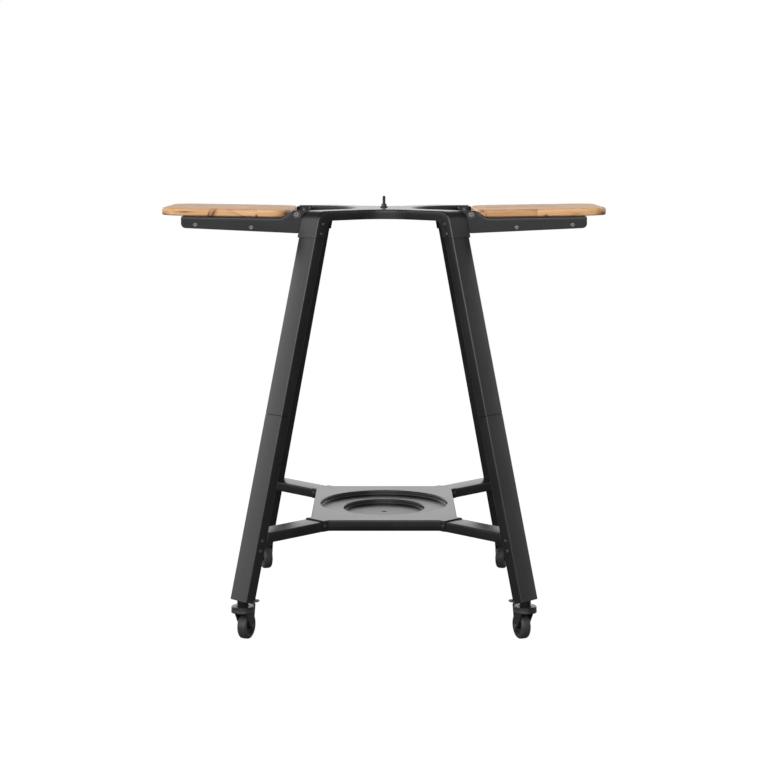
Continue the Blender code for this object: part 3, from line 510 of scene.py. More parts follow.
topFrame = {"sheet": 0.0025, "fit": 0.0003, "depth": 0.024, "frontNotch": 0.085, "sideNotch": 0.160,
            "roll": 0.028, "underRoll": 0.018, "bend": 0.0042, "sleeveLap": 0.0005,
            "holeX": 0.036, "holeY": 0.065, "holeRadius": 0.0035, "cutter": 0.012,
            "notchSteps": 26, "straightSteps": 8, "rollSteps": 16, "sleeveSteps": 5,
            "topShares": (0.03, 0.3, 0.6, 0.85)}
sleeveOut = legs["depth"] / 2 + topFrame["fit"] + topFrame["sheet"]
armHalfWidth = legs["width"] / 2 + topFrame["fit"] + topFrame["sheet"]


def rollCentre(height, radius, offset):  # out along the arm, for a roll that ends offset from the leg
    return axisReach(height) + (offset - radius) / np.cos(legTilt)


def armCurve(top, radius, offset, startReach):
    # level run, then an arc of the roll's radius through 75 degrees, then straight down the leg:
    # reach along the arm, height, and the curve's normal
    centreHeight = top - radius
    centreReach = rollCentre(centreHeight, radius, offset)
    level = np.linspace(startReach, centreReach, topFrame["straightSteps"])[1:]
    turn = np.linspace(0, np.pi / 2 - legTilt, topFrame["rollSteps"])[1:]
    arcReach, arcHeight = centreReach + radius * np.sin(turn), centreHeight + radius * np.cos(turn)
    drop = np.linspace(0, arcHeight[-1] - sleeveBottom, topFrame["sleeveSteps"])[1:]
    reach = np.concatenate([level, arcReach, arcReach[-1] + drop * np.tan(legTilt)])
    height = np.concatenate([level * 0 + top, arcHeight, arcHeight[-1] - drop])
    return reach, height, np.concatenate([level * 0, turn, drop * 0 + turn[-1]])


def fromDiagonal(facingX, places, directions):
    # from a frame at the arms' axis, where both kinds of side look alike, to the stand's own: x and y
    # change places on a front or rear side, and places move by the axes' shift
    order = [0, 1, 2] if facingX else [1, 0, 2]
    return ([grid[:, order] + [0, axisShift, 0] for grid in places]
            + [grid[:, order] for grid in directions])


def armSide(facingX):
    # along half a round notch, whose centre is its radius from the arm's side, then out along the arm
    # and down the leg: the top edge, the lower edge, and the sideways and upward normals
    radius = topFrame["sideNotch" if facingX else "frontNotch"]
    shift = axisShift if facingX else 0
    turn = np.linspace(np.pi, 0.75 * np.pi, topFrame["notchSteps"])
    spoke = np.stack([np.cos(turn), np.sin(turn)], axis=-1)
    notch = [(armHalfWidth + radius) / half - shift, -shift] + radius * spoke
    across, along = np.array([half, -half]), np.array([half, half])
    top, low = frameTop, frameTop - topFrame["depth"]
    startReach = notch[-1] @ along
    reach, height, angle = armCurve(top, topFrame["roll"], sleeveOut, startReach)
    lowReach, lowHeight, _ = armCurve(low, topFrame["underRoll"],
                                      -legs["depth"] / 2 - topFrame["sleeveLap"], startReach)
    edges = []
    for level, reaches, levels in ((top, reach, height), (low, lowReach, lowHeight)):
        plan = np.concatenate([notch, reaches[:, None] * along + armHalfWidth * across])
        edges.append(np.column_stack([plan, np.concatenate([turn * 0 + level, levels])]))
    sideways = np.concatenate([-spoke, np.tile(across, (len(reach), 1))])
    angle = np.concatenate([turn * 0, angle])[:, None]
    upward = np.sin(angle) * [half, half, 0] + np.cos(angle) * [0, 0, 1]
    return fromDiagonal(facingX, edges, [np.column_stack([sideways, 0 * angle]), upward])


def bendRows(edge, low, sideways, upward, bend, steps=7, rows=4):
    # flange from the lower edge up to the bend, then a quarter circle onto the top
    start = edge - bend * upward
    flange = low + (start - low) * np.linspace(0, 1, rows)[:-1, None, None]
    turn = quarterTurn(steps)[:, None, None]
    quarter = start - bend * sideways + bend * (np.cos(turn) * sideways + np.sin(turn) * upward)
    return np.concatenate([flange, quarter])


def makeTopFrame():
    # the top runs from one side's bend to the other's by way of the line midway between them, which
    # is drawn to the hub's middle along the notches
    sideRows, frontRows = (bendRows(*armSide(facingX), topFrame["bend"]) for facingX in (True, False))
    sideTop, frontTop = sideRows[-1], frontRows[-1]
    middle = (sideTop + frontTop) / 2
    count = topFrame["notchSteps"]
    hub = np.linspace(0, 1, count)[:, None]
    middle[:count] = hub * middle[count - 1] + (1 - hub) * [0, 0, frameTop]
    t = np.array(topFrame["topShares"])[:, None, None]
    part = Part()
    part.quarters(np.concatenate([sideRows, sideTop + (middle - sideTop) * t, middle[None],
                                  middle + (frontTop - middle) * (1 - t[::-1]), frontRows[::-1]]))
    drillHub(piece("topFrame", part, blackSteel, ["top_frame"], thickness=topFrame["sheet"]))


def drillHub(item):
    # round holes through the hub, each a turned cutter taken out of the finished sheet
    part = Part()
    reach = topFrame["cutter"]
    hole = turnedGrid([topFrame["holeRadius"]] * 2, [frameTop - reach, frameTop + reach], 24)
    for sideX, sideY in corners.values():
        part.solid(hole + [sideX * topFrame["holeX"], sideY * topFrame["holeY"], 0])
    cutter = inScene("hubCutter", part.mesh("hubCutter"))
    drill = item.modifiers.new("holes", "BOOLEAN")
    drill.operation, drill.solver, drill.object = "DIFFERENCE", "EXACT", cutter
    made = bpy.data.meshes.new_from_object(item.evaluated_get(bpy.context.evaluated_depsgraph_get()))
    item.modifiers.clear()
    made.name = "topFrame"
    item.data = made
    smoothed(made, 30)
    bpy.data.objects.remove(cutter)


makeTopFrame()
print("top frame made")


# Stud and nut on the hub

stud = {"radius": 0.004, "pitch": 0.00125, "thread": 0.0006, "rows": 190, "root": 0.004, "tip": 0.0015,
        "headRadius": 0.0064, "headHeight": 0.005, "headEdges": (0.0006, 0.0004)}
studNut = {"flangeRadius": 0.0095, "flat": 0.0067, "top": 0.0065, "play": 0.0002, "edge": 0.0004,
           "rises": (0, 0.001, 0.0025, 0.0031), "falls": (0.0012, 0, 0.0003)}


def makeStud():
    # the radius dips with the height and the turn, one dip for each turn of the thread
    low, high = heights("locating_stud")
    height = np.linspace(frameTop - stud["root"], high, stud["rows"])[:, None]
    wave = np.abs(((height / stud["pitch"] + fullTurn(24) / (2 * np.pi)) % 1) * 2 - 1)
    tip = 1 - 0.3 * smoothStep((height - high + stud["tip"]) / stud["tip"])
    part = Part().solid(turnedGrid((stud["radius"] - stud["thread"] * wave) * tip, height, 24))
    top, radius, (lower, upper) = low + stud["headHeight"], stud["headRadius"], stud["headEdges"]
    part.solid(turnedGrid([radius - lower, radius, radius, radius - upper],
                          [low, low + lower, top - upper, top], 36))
    piece("locatingStud", part, brightSteel, ["locating_stud"])


def makeStudNut():
    # profile: a round flange, six flats above it, a round top, and the bore
    low, high = heights("stud_nut")
    flats, radius = hexagon(studNut["flat"], 72), studNut["flangeRadius"]
    bore = stud["radius"] + studNut["play"]
    nut = turnedGrid([radius - studNut["edge"], radius, radius, flats, flats, studNut["top"], bore, bore],
                     [*(low + np.array(studNut["rises"])), *(high - np.array(studNut["falls"])), low], 72)
    piece("studNut", Part().loop(nut), darkBolt, ["stud_nut"], sharp=25)


makeStud()
makeStudNut()


# Lower shelf

lowerShelf = {"sheet": 0.002, "halfX": 0.183, "stubHalf": 0.032, "stubReach": 0.2448, "bend": 0.0028,
              "fillet": 0.008, "recess": 0.165, "recessStep": 0.0122, "well": 0.1047, "wellStep": 0.0122,
              "stepBend": 0.003, "stepLedge": 0.004, "centreHole": 0.003}


def skirtSide(facingX):
    # from the middle of a plate side, round a fillet, out along the stub: points and their normals.
    # The fillet's spokes turn from one side's normal to the other's
    size, shift = lowerShelf, axisShift if facingX else 0
    side, extent = size["stubHalf"] / half, size["stubReach"] / half
    middle, knee = np.array([size["halfX"], -shift]), np.array([size["halfX"], size["halfX"] - side])
    tip = np.array([extent + side, extent - side]) / 2
    flat, slant = np.array([1.0, 0]), np.array([half, -half])
    trim = size["fillet"] * np.tan(np.pi / 8)
    first = knee + (middle - knee) / np.linalg.norm(middle - knee) * trim
    last = knee + (tip - knee) / np.linalg.norm(tip - knee) * trim
    run = middle + (first - middle) * np.linspace(0, 1, 14)[:, None]
    turn = np.linspace(0, 1, 7)[1:-1, None]
    spoke = flat * (1 - turn) + slant * turn
    spoke = spoke / np.linalg.norm(spoke, axis=1)[:, None]
    curve = first + size["fillet"] * (flat - spoke)
    out = last + (tip - last) * np.linspace(0, 1, 5)[:, None]
    points = np.concatenate([run, curve, out])
    normals = np.concatenate([np.tile(flat, (len(run), 1)), spoke, np.tile(slant, (len(out), 1))])
    zero = np.zeros(len(points))
    edges = [np.column_stack([points, zero + height]) for height in (plateTop, plateBottom)]
    return fromDiagonal(facingX, edges, [np.column_stack([normals, zero])])


def ringAt(bearing, radius, height):
    return np.column_stack([radius * np.cos(bearing), radius * np.sin(bearing), bearing * 0 + height])


def stepRings(bearing, radius, high, low):
    # over a quarter circle, down the wall, and out on a second quarter circle at its foot
    bend, ledge = lowerShelf["stepBend"], lowerShelf["stepLedge"]
    profile = [(radius + ledge + bend, high)]
    profile += [(radius + bend - bend * np.sin(a), high - bend + bend * np.cos(a)) for a in quarterTurn(5)]
    profile += [(radius - bend + bend * np.cos(a), low + bend - bend * np.sin(a)) for a in quarterTurn(5)]
    profile += [(radius - bend - ledge, low)]
    return [ringAt(bearing, ringRadius, height) for ringRadius, height in profile]


def makeLowerShelf():
    size, part, quarter = lowerShelf, Part(), []
    for facingX in (True, False):
        edge, low, sideways = skirtSide(facingX)
        rows = bendRows(edge, low, sideways, np.array([0, 0, 1.0]), size["bend"], 6, 3)
        quarter.append(rows[-1])
        part.quarters(rows, flip=facingX)
    end = quarter[0][-1] + (quarter[1][-1] - quarter[0][-1]) * np.linspace(0, 1, 8)[1:-1, None]
    rim = np.concatenate([quarter[0], end, quarter[1][::-1]])
    # rings keep the rim's bearings, turned a little at the stub so that none of its lines cross, and
    # the rings further in have even ones; they step down into the recess and the well
    tip = len(quarter[0]) - 1
    bearing = np.arctan2(rim[:, 1], rim[:, 0]) + np.interp(
        np.arange(len(rim)), [tip - 4, tip, tip + 7, tip + 11], np.radians([0, 1.5, -0.5, 0]))
    even = quarterTurn(len(bearing))
    recessFloor = plateTop - size["recessStep"]
    wellFloor = recessFloor - size["wellStep"]
    inner = stepRings(bearing, size["recess"], plateTop, recessFloor)
    rings = [rim, rim + (inner[0] - rim) * 0.05] + inner
    rings += stepRings(even, size["well"], recessFloor, wellFloor)
    rings += [ringAt(even, size["centreHole"] * share, wellFloor) for share in (3, 1)]
    part.quarters(np.stack(rings), flip=True)
    piece("lowerShelf", part, blackSteel, ["lower_shelf"], thickness=size["sheet"],
          even=False)


makeLowerShelf()


# Button head bolts on the sleeves, the arms' ends and the stubs

smallBolts = {"radius": 0.0045, "height": 0.0024, "sleeve": (0.995, 0.972), "armEnd": (0.243, 0.219),
              "stubReach": 0.238, "stubHeight": 0.2495}
# as shares of a head's radius and height: its socket, its rim, and the socket's wall and floor
buttonHead = {"socket": 0.42, "rim": 0.25, "inward": (1, 0.96, 0.01), "depths": (0.98, 0.35, 0.3)}


def boltHead(radius, height):
    # a low dome with a six sided socket, about z, standing on z = 0. Over the dome the radius shrinks
    # evenly while the height follows a quarter circle
    t = np.linspace(0, 1, 7)[1:]
    rim, socket = buttonHead["rim"], hexagon(radius * buttonHead["socket"], 36)
    dome = rim + (1 - rim) * np.sqrt(1 - (1 - t) ** 2)
    return turnedGrid([radius, radius, *(radius * (1 - buttonHead["socket"] * t)),
                       *(socket * share for share in buttonHead["inward"])],
                      height * np.array([0, rim, *dome, *buttonHead["depths"]]), 36)


def makeSmallBolts():
    head = boltHead(smallBolts["radius"], smallBolts["height"])
    part = Part()
    spots = [(height, armHalfWidth) for height in smallBolts["sleeve"]]
    spots += [(height, legs["width"] / 2) for height in smallBolts["armEnd"]]
    for corner in corners.values():
        plan = np.array([*corner, 0]) * half
        stub = [0, corner[1] * axisShift, smallBolts["stubHeight"]] + plan * smallBolts["stubReach"]
        for side in (-1, 1):
            across = np.array([plan[1], -plan[0], 0]) * side
            places = [legFrame(corner, height)[:3, 3] + across * offset for height, offset in spots]
            for place in [*places, stub + across * lowerShelf["stubHalf"]]:
                part.solid(head, facing(across, place))
    piece("frameBolts", part, darkBolt, sharp=30)


makeSmallBolts()


# Arms between the legs and the lower shelf

arms = {"width": 0.0594, "corner": 0.003, "wall": 0.002, "lap": 0.040}


def makeArms():
    centre, start = (armTop + armBottom) / 2, lowerShelf["stubReach"] - arms["lap"]
    fit = (legs["depth"] / 2 + topFrame["fit"]) / np.cos(legTilt)
    # the outer end lies along the leg's inner face
    grid = tubeGrid(arms["width"] / 2, (armTop - armBottom) / 2, arms["corner"], arms["wall"],
                    lambda z: z * 0 + start, lambda z: axisReach(centre + z) - fit)
    for name, (sideX, sideY) in corners.items():
        plan = np.array([sideX, sideY, 0]) * half
        spot = frameOf([plan[1], -plan[0], 0], [0, 0, 1], plan, [0, sideY * axisShift, centre])
        piece(f"shelfArm.{name}", Part().loop(grid, spot), blackSteel, [f"shelf_arm_{name}"])


makeArms()
print("lower shelf and arms made")


# Side boards. All of a side shelf is drawn in a frame at its pivot, with x outwards

board = {"tilt": 0.9, "start": 0.015, "length": 0.323, "half": 0.17804, "top": 0.011, "thickness": 0.018,
         "corner": 0.057, "edge": 0.0042}


def shelfFrame(side):  # outwards, across and up, tipped up by the tilt
    sine, cosine = np.sin(np.radians(board["tilt"])), np.cos(np.radians(board["tilt"]))
    return frameOf([side * cosine, 0, sine], [0, 1, 0], [-side * sine, 0, cosine],
                   [side * pivotX, 0, pivotHeight])


def makeBoard(label, side, body):
    # rounded rectangle rings: out over the lower edge, up the side, in over the upper edge
    edge, top, halfX = board["edge"], board["top"], board["length"] / 2
    bottom = top - board["thickness"]
    rise, fall = edge * (1 - np.cos(quarterTurn(6))), edge * (1 - np.sin(quarterTurn(6)))
    rows = []
    for inset, height in zip([0.05, 0.02, *fall, *rise, 0.02, 0.05],
                             [bottom, bottom, *(bottom + rise), *(top - fall), top, top]):
        x, y = roundedRect(halfX - inset, board["half"] - inset, board["corner"] - inset, 24)
        rows.append(np.stack([board["start"] + halfX + x, y, height + 0 * x], axis=-1))
    piece(f"shelfBoard.{label}", Part().solid(np.stack(rows), shelfFrame(side)), oiledWood(label),
          [f"shelf_board_{label}"], body)


# Brackets: a web with a flange under the board, and a nose about the pivot

bracket = {"webFace": 0.20004, "sheet": 0.0025, "bend": 0.004, "play": 0.0003, "nose": 0.0105,
           "raised": 0.012, "levelStart": 0.038, "reach": 0.283, "innerDepth": 0.0375,
           "outerDepth": 0.0285, "heel": 0.0113, "heelRadius": 0.013, "tipRadius": 0.011,
           "topTip": 0.003, "ease": 0.002, "flangeLap": 0.022, "flangeStart": 0.004, "flangeEase": 0.006,
           "bendLead": 0.002, "closeRun": (0.008, 22), "wideRun": (0.014, 16), "tipGap": 0.001,
           "bevel": 0.0003}
flangeTop = board["top"] - board["thickness"] - bracket["play"]
webInside = bracket["webFace"] - bracket["sheet"] - bracket["play"]


def lowerLine(x):  # straight lower edge of a bracket, rising outwards
    run = bracket["reach"] + bracket["heel"]
    rise = (bracket["innerDepth"] - bracket["outerDepth"]) * (x + bracket["heel"]) / run
    return flangeTop - bracket["innerDepth"] + rise


def lowerEdge(x, heel):  # the lower line, lifted by a quarter circle at each end
    start, end = bracket["heelRadius"], bracket["tipRadius"]
    inner = np.clip((heel + start - x) / start, 0, 1)
    outer = np.clip((x - bracket["reach"] + end) / end, 0, 1)
    return lowerLine(x) + start * (1 - np.sqrt(1 - inner ** 2)) + end * (1 - np.sqrt(1 - outer ** 2))


def upperEdge(x):
    # a nose about the pivot, a raised run, then a slope that eases into the level: the ease is half
    # the sum of the slope and the root of its square and the ease's. The tip drops by a quarter circle
    top, tipLength = bracket["nose"], bracket["topTip"]
    nose = np.sqrt(np.clip(top ** 2 - np.minimum(x, 0) ** 2, 0, None))
    slope = (top - flangeTop) / (bracket["levelStart"] - bracket["raised"])
    over = (bracket["levelStart"] - x) * slope
    eased = flangeTop + (over + np.sqrt(over ** 2 + bracket["ease"] ** 2)) / 2
    tip = np.clip((x - bracket["reach"] + tipLength) / tipLength, 0, 1)
    height = np.where(x <= bracket["raised"], nose, np.minimum(eased, top))
    return height - tipLength * (1 - np.sqrt(1 - tip ** 2))


def makeBracket(name, side, sideY, body):
    # columns along x: each runs up the web to where the bend starts, round the bend on the slope's
    # normal, and in along the flange. The nose is a web without a flange
    bend, face, nose = bracket["bend"], bracket["webFace"], bracket["nose"]
    level, reach, end = bracket["levelStart"], bracket["reach"], bracket["tipRadius"]
    heelLow = -bracket["heel"] + lowerLine(-bracket["heel"]) * np.sin(np.radians(board["tilt"]))
    bendStart = bracket["raised"] + bracket["bendLead"]
    inner = np.array([*(-nose * np.cos(quarterTurn(10))), *np.linspace(0, bracket["raised"], 4)[1:],
                      bendStart])
    innerLow = inner + np.clip(-inner / nose, 0, 1) ** 2 * (heelLow + nose)
    # close together over the slope, further apart along the level, and close round the tip
    (closeEnd, closeCount), (wideStart, wideCount) = bracket["closeRun"], bracket["wideRun"]
    outer = np.concatenate([np.linspace(bendStart, level + closeEnd, closeCount),
                            np.linspace(level + wideStart, reach - end - bracket["tipGap"], wideCount),
                            reach - end + end * np.sin(quarterTurn(9))])
    height = upperEdge(outer)
    slope = np.gradient(height, outer)
    slope[-9:] = 0
    normal = np.stack([-slope, np.ones_like(slope)]) / np.sqrt(1 + slope ** 2)
    webTop = np.stack([outer, height]) - bend * normal
    webTop[0, -1] = outer[-1]
    low = np.stack([outer, lowerEdge(outer, heelLow)])
    rows = np.linspace(0, 1, 7)[:, None]
    web = low[:, None] + (webTop - low)[:, None] * rows
    turn = quarterTurn(7)[1:, None]
    arc = webTop[:, None] + bend * np.sin(turn) * normal[:, None]
    widening = smoothStep((outer - level - bracket["flangeStart"]) / bracket["flangeEase"])
    width = face - board["half"] + bracket["flangeLap"] * widening - bend
    t = np.linspace(0, 1, 5)[1:, None]
    grid = np.stack([
        np.concatenate([web[0], arc[0], arc[0, -1] + 0 * t]),
        bend - face + np.concatenate([web[0] * 0 - bend, 0 * outer - bend * np.cos(turn), width * t]),
        np.concatenate([web[1], arc[1], arc[1, -1] + 0 * t])], axis=-1)
    innerTop = np.stack([inner, upperEdge(inner)])
    innerTop[:, -1] = webTop[:, 0]
    innerBottom = np.stack([innerLow, lowerEdge(innerLow, heelLow)])
    innerBottom[:, -1] = low[:, 0]
    noseX, noseZ = innerBottom[:, None] + (innerTop - innerBottom)[:, None] * rows
    part = Part()
    for shape in (grid, np.stack([noseX, noseX * 0 - face, noseZ], axis=-1)):
        part.add(shape, shelfFrame(side) @ np.diag([1, -sideY, 1, 1]), flip=side * sideY > 0)
    piece(f"shelfBracket.{name}", part, blackSteel, [f"shelf_bracket_{name}"], body,
          thickness=bracket["sheet"], bevel=bracket["bevel"], segments=1)


# Pivot bolts: a washer and a head outside each bracket, a shank through it, and a nut behind the ear

pivotBolt = {"washerRadii": (0.0032, 0.0080, 0.0084, 0.0082, 0.0032), "washerRise": (0, 0, 0.5, 1, 1),
             "washer": 0.001, "head": (0.0070, 0.0036), "shank": 0.003,
             "nutRadii": (0.0031, 0.0055, 0.0055, 0.0050, 0.0031),
             "nutHeights": (0, 0, 0.0043, 0.0048, 0.0048), "nutGap": 0.0009, "shankPast": (0.0009, 0.0006)}


def makePivotBolts(label, side):
    part, nuts = Part(), Part()
    washer = turnedGrid(pivotBolt["washerRadii"], np.array(pivotBolt["washerRise"]) * pivotBolt["washer"], 40)
    head = boltHead(*pivotBolt["head"]) + [0, 0, pivotBolt["washer"]]
    nut = turnedGrid(pivotBolt["nutRadii"], pivotBolt["nutHeights"], 6)
    face = bracket["webFace"] + bracket["play"]
    back = face - 2 * bracket["sheet"] - pivotBolt["nutGap"]
    past = pivotBolt["shankPast"]
    shank = turnedGrid([pivotBolt["shank"]] * 2, [-past[0], face - back + past[1]], 24)

    def spot(sideY, y, outwards):
        return facing([0, sideY * outwards, 0], [side * pivotX, sideY * y, pivotHeight])

    for sideY in (-1, 1):
        part.loop(washer, spot(sideY, face, 1)).solid(head, spot(sideY, face, 1))
        part.solid(shank, spot(sideY, back, 1))
        nuts.loop(nut, spot(sideY, back, -1))
    piece(f"pivotBolts.{label}", part, shelfBolt,
          [f"pivot_bolt_front_{label}", f"pivot_bolt_rear_{label}"], sharp=30)
    piece(f"pivotNuts.{label}", nuts, darkBolt, sharp=30)


# Hinge ears beside each sleeve, which hold the pivot bolts

ear = {"radius": 0.0107, "thick": 0.0025, "root": 0.0326, "sink": 0.0012, "rootDrop": 0.0035,
       "edgeGap": 0.0005, "bevel": 0.0003}


def makeEars(label, side):
    # round about the pivot, level with the frame's top, and cut below along the roll of the arm that
    # the ear stands on: there the height falls from the top by the roll's radius less the root of its
    # square less the square of the reach past the roll's start
    roll, radius = topFrame["roll"], ear["radius"]
    armEdge = webInside - axisShift + armHalfWidth / half
    run = np.linspace(pivotX - ear["root"], armEdge - ear["edgeGap"], 12)
    past = (run + webInside - axisShift) * half - rollCentre(frameTop - roll, roll, sleeveOut)
    drop = roll - np.sqrt(roll ** 2 - np.clip(past, 0, None) ** 2)
    turn = np.linspace(np.pi / 2, -np.pi / 2, 20)
    x = np.array([run[0], *(pivotX + radius * np.cos(turn)), run[-1], *run[::-1]])
    z = np.array([pivotHeight + radius, *(pivotHeight + radius * np.sin(turn)),
                  pivotHeight - radius - ear["rootDrop"], *(frameTop - drop - ear["sink"])[::-1]])
    part = Part()
    for sideY in (-1, 1):
        part.solid(prismGrid(side * x, z, sideY * (webInside - ear["thick"]), sideY * webInside))
    piece(f"hingeEars.{label}", part, blackSteel, bevel=ear["bevel"], segments=1)


# Cross rails between the brackets, with a bolt at each end

rails = {"places": {"inner": 0.111, "outer": 0.248}, "rise": 0.009, "size": 0.014, "corner": 0.0016,
         "head": (0.0060, 0.0026), "headGap": 0.0001}


def makeRails(label, side, body):
    x, z = roundedRect(rails["size"] / 2, rails["size"] / 2, rails["corner"], 5)
    head, spot = boltHead(*rails["head"]), shelfFrame(side)
    for number, place in rails["places"].items():
        middle = np.array([place, 0, lowerLine(place) + rails["rise"]])
        rail, bolts = Part().solid(prismGrid(x, z, -webInside, webInside) + middle, spot), Part()
        for sideY in (-1, 1):
            end = middle + [0, sideY * (bracket["webFace"] + rails["headGap"]), 0]
            bolts.solid(head, spot @ facing([0, sideY, 0], end))
        piece(f"crossRail.{number}.{label}", rail, blackSteel,
              [f"cross_rail_{number}_{label}"], body)
        piece(f"railBolts.{number}.{label}", bolts, shelfBolt, (), body, sharp=30)


for label, side in (("left", -1), ("right", 1)):
    shelfBody = f"{label}_shelf"
    makeBoard(label, side, shelfBody)
    makeRails(label, side, shelfBody)
    makePivotBolts(label, side)
    makeEars(label, side)
    makeBracket(f"front_{label}", side, -1, shelfBody)
    makeBracket(f"rear_{label}", side, 1, shelfBody)
print("side shelves made")


# Casters, each drawn in a frame on the floor under its swivel axis, with x along the trail

caster = {"trail": 0.020, "turn": 20.0, "wheelRadius": 0.0325, "pedalX": 0.034, "pedalZ": 0.080}


def casterFrame(corner):
    sideX, sideY = corner
    turn = np.radians(caster["turn"])
    along = np.array([-sideX * np.sin(turn), -sideY * np.cos(turn), 0])
    return frameOf(along, np.cross([0, 0, 1], along), [0, 0, 1], [sideX * footX, sideY * footY, 0])


def onAxle(grid, x=caster["trail"], z=caster["wheelRadius"]):  # a grid turned about z, laid along y
    return np.stack([grid[..., 0] + x, grid[..., 2], grid[..., 1] + z], axis=-1)


# Wheels: radii and half widths of the hub's face, from its bore to the tyre

wheel = {"halfWidth": 0.012, "shoulder": 0.0062, "crown": 0.0002, "bead": (0.0225, 0.0236),
         "beadStep": 0.0015,
         "hubRadii": (0.0033, 0.0070, 0.0076, 0.0082, 0.0160, 0.0170, 0.0176, 0.0204, 0.0212, 0.0226),
         "hubWidths": (0.012, 0.012, 0.0114, 0.0075, 0.0075, 0.0088, 0.0096, 0.0098, 0.0109, 0.0109)}


def makeWheel(name, spot):
    # tyre: its flank, a quarter circle onto a tread crowned by the square of the share of its width,
    # and the same back
    radius, halfWidth, shoulder = caster["wheelRadius"], wheel["halfWidth"], wheel["shoulder"]
    turn = quarterTurn(8)
    edgeRadii = radius - shoulder + shoulder * np.sin(turn) - wheel["crown"]
    edgeWidths = halfWidth - shoulder + shoulder * np.cos(turn)
    tread = np.linspace(edgeWidths[-1], -edgeWidths[-1], 9)[1:-1]
    flankRadii = [*wheel["bead"], radius - shoulder, *edgeRadii]
    flankWidths = np.array([halfWidth - wheel["beadStep"], halfWidth, halfWidth, *edgeWidths])
    treadRadii = radius - wheel["crown"] * (tread / edgeWidths[-1]) ** 2
    tyre = turnedGrid([*flankRadii, *treadRadii, *flankRadii[::-1]],
                      [*flankWidths, *tread, *-flankWidths[::-1]], 72)
    hubWidths = np.array(wheel["hubWidths"])
    hub = turnedGrid([*wheel["hubRadii"], *wheel["hubRadii"][::-1]], [*hubWidths, *-hubWidths[::-1]], 56)
    for label, grid, finish, nodes in (("tyre", tyre, rubber, [f"caster_wheel_{name}"]),
                                       ("hub", hub, plastic, [])):
        piece(f"{label}.{name}", Part().loop(onAxle(grid), spot), finish, nodes,
              f"wheel_{name}", sharp=30)


# Forks: a raceway cup over two cheeks, with an axle between them

fork = {"cupRadius": 0.028, "cupBottom": 0.071, "cupTop": 0.087, "cupEdge": 0.0022, "bore": 0.0053,
        "race": (0.0150, 0.0160, 0.0172), "raceDrops": (0, 0.0005, 0.0014), "skirtIn": 0.0004,
        "lip": (0.0042, 0.0034), "wall": 0.003, "roof": 0.006, "cheekTop": 0.084, "cheekFront": -0.016,
        "cheekLow": 0.0015, "cheekBack": 0.021, "cheekInner": 0.0135, "cheekSheet": 0.0025,
        "cheekBevel": 0.0005, "axleEnd": 0.009, "pinEnd": 0.0055, "axle": 0.003, "axleHalf": 0.0162,
        "axleHead": (0.005, 0.0024), "headGap": 0.0001}


def cheekOutline():
    # down the front, round the axle's end, up the back and round the pedal's pin
    axle, pin = np.radians(np.linspace(200, 340, 14)), np.radians(np.linspace(-20, 110, 12))
    x = np.array([fork["cheekFront"], fork["cheekFront"], *(caster["trail"] + fork["axleEnd"] * np.cos(axle)),
                  *(caster["pedalX"] + fork["pinEnd"] * np.cos(pin)), fork["cheekBack"]])
    z = np.array([fork["cheekTop"], fork["cupBottom"] + fork["cheekLow"],
                  *(caster["wheelRadius"] + fork["axleEnd"] * np.sin(axle)),
                  *(caster["pedalZ"] + fork["pinEnd"] * np.sin(pin)), fork["cheekTop"]])
    return x, z


def makeFork(name, spot, body):
    # cup profile: bore, ball race step, rounded shoulder, skirt with a rolled lip, and back inside
    bottom, top, radius, edge = fork["cupBottom"], fork["cupTop"], fork["cupRadius"], fork["cupEdge"]
    skirt, inside, race = radius - fork["skirtIn"], radius - fork["wall"], top - np.array(fork["raceDrops"])
    rise, fall = edge * (1 - np.sin(quarterTurn(6))), edge * (1 - np.cos(quarterTurn(6)))
    cup = turnedGrid([fork["bore"], *fork["race"], *(skirt - rise), skirt, radius, radius, inside, inside,
                      fork["bore"]],
                     [top, *race, *(race[-1] - fall), *(bottom + np.array(fork["lip"])), bottom, bottom,
                      top - fork["roof"], top - fork["roof"]], 64)
    piece(f"casterCup.{name}", Part().loop(cup, spot), casterSteelWithHighlight, (), body, sharp=30)
    cheeks, inner = Part(), fork["cheekInner"]
    head, shank = boltHead(*fork["axleHead"]), [-fork["axleHalf"], fork["axleHalf"]]
    axle = Part().solid(onAxle(turnedGrid([fork["axle"]] * 2, shank, 24)), spot)
    for side in (-1, 1):
        cheeks.solid(prismGrid(*cheekOutline(), side * inner, side * (inner + fork["cheekSheet"])), spot)
        end = [caster["trail"], side * (fork["axleHalf"] + fork["headGap"]), caster["wheelRadius"]]
        axle.solid(head, spot @ facing([0, side, 0], end))
    piece(f"casterCheeks.{name}", cheeks, casterSteelWithHighlight, [f"caster_fork_{name}"], body,
          bevel=fork["cheekBevel"])
    piece(f"casterAxle.{name}", axle, darkBolt, [f"caster_axle_{name}"], body, sharp=30)


# Brake pedals: a tread plate with ribs on a neck, a pin through the cheeks, and a cam over the tyre.
# A rib and the neck are outlines in x and z

pedal = {"halfWidth": 0.020, "plateX": 0.01745, "plateHalf": 0.01025, "plateBottom": 0.0041,
         "plateTop": 0.0066, "plateCorner": 0.009, "plateEdge": 0.0007, "lift": 0.0015,
         "ribs": (-0.45, -0.05, 0.35), "ribShare": 0.72, "ribX": (-0.0009, 0.0009, 0.0006, -0.0006),
         "ribZ": (-0.0002, -0.0002, 0.0005, 0.0005), "neckX": (0.0, 0.0125, 0.0095, 0.0),
         "neckZ": (0.0002, 0.0052, 0.0064, 0.0032), "neckHalf": 0.0128, "pin": 0.0022, "pinHalf": 0.016,
         "barrel": 0.004, "barrelHalf": 0.0132, "press": 20, "camReach": 0.0160, "camHalf": 0.0024,
         "camTaper": 0.8, "camWidth": 0.0069, "bevel": 0.0003}


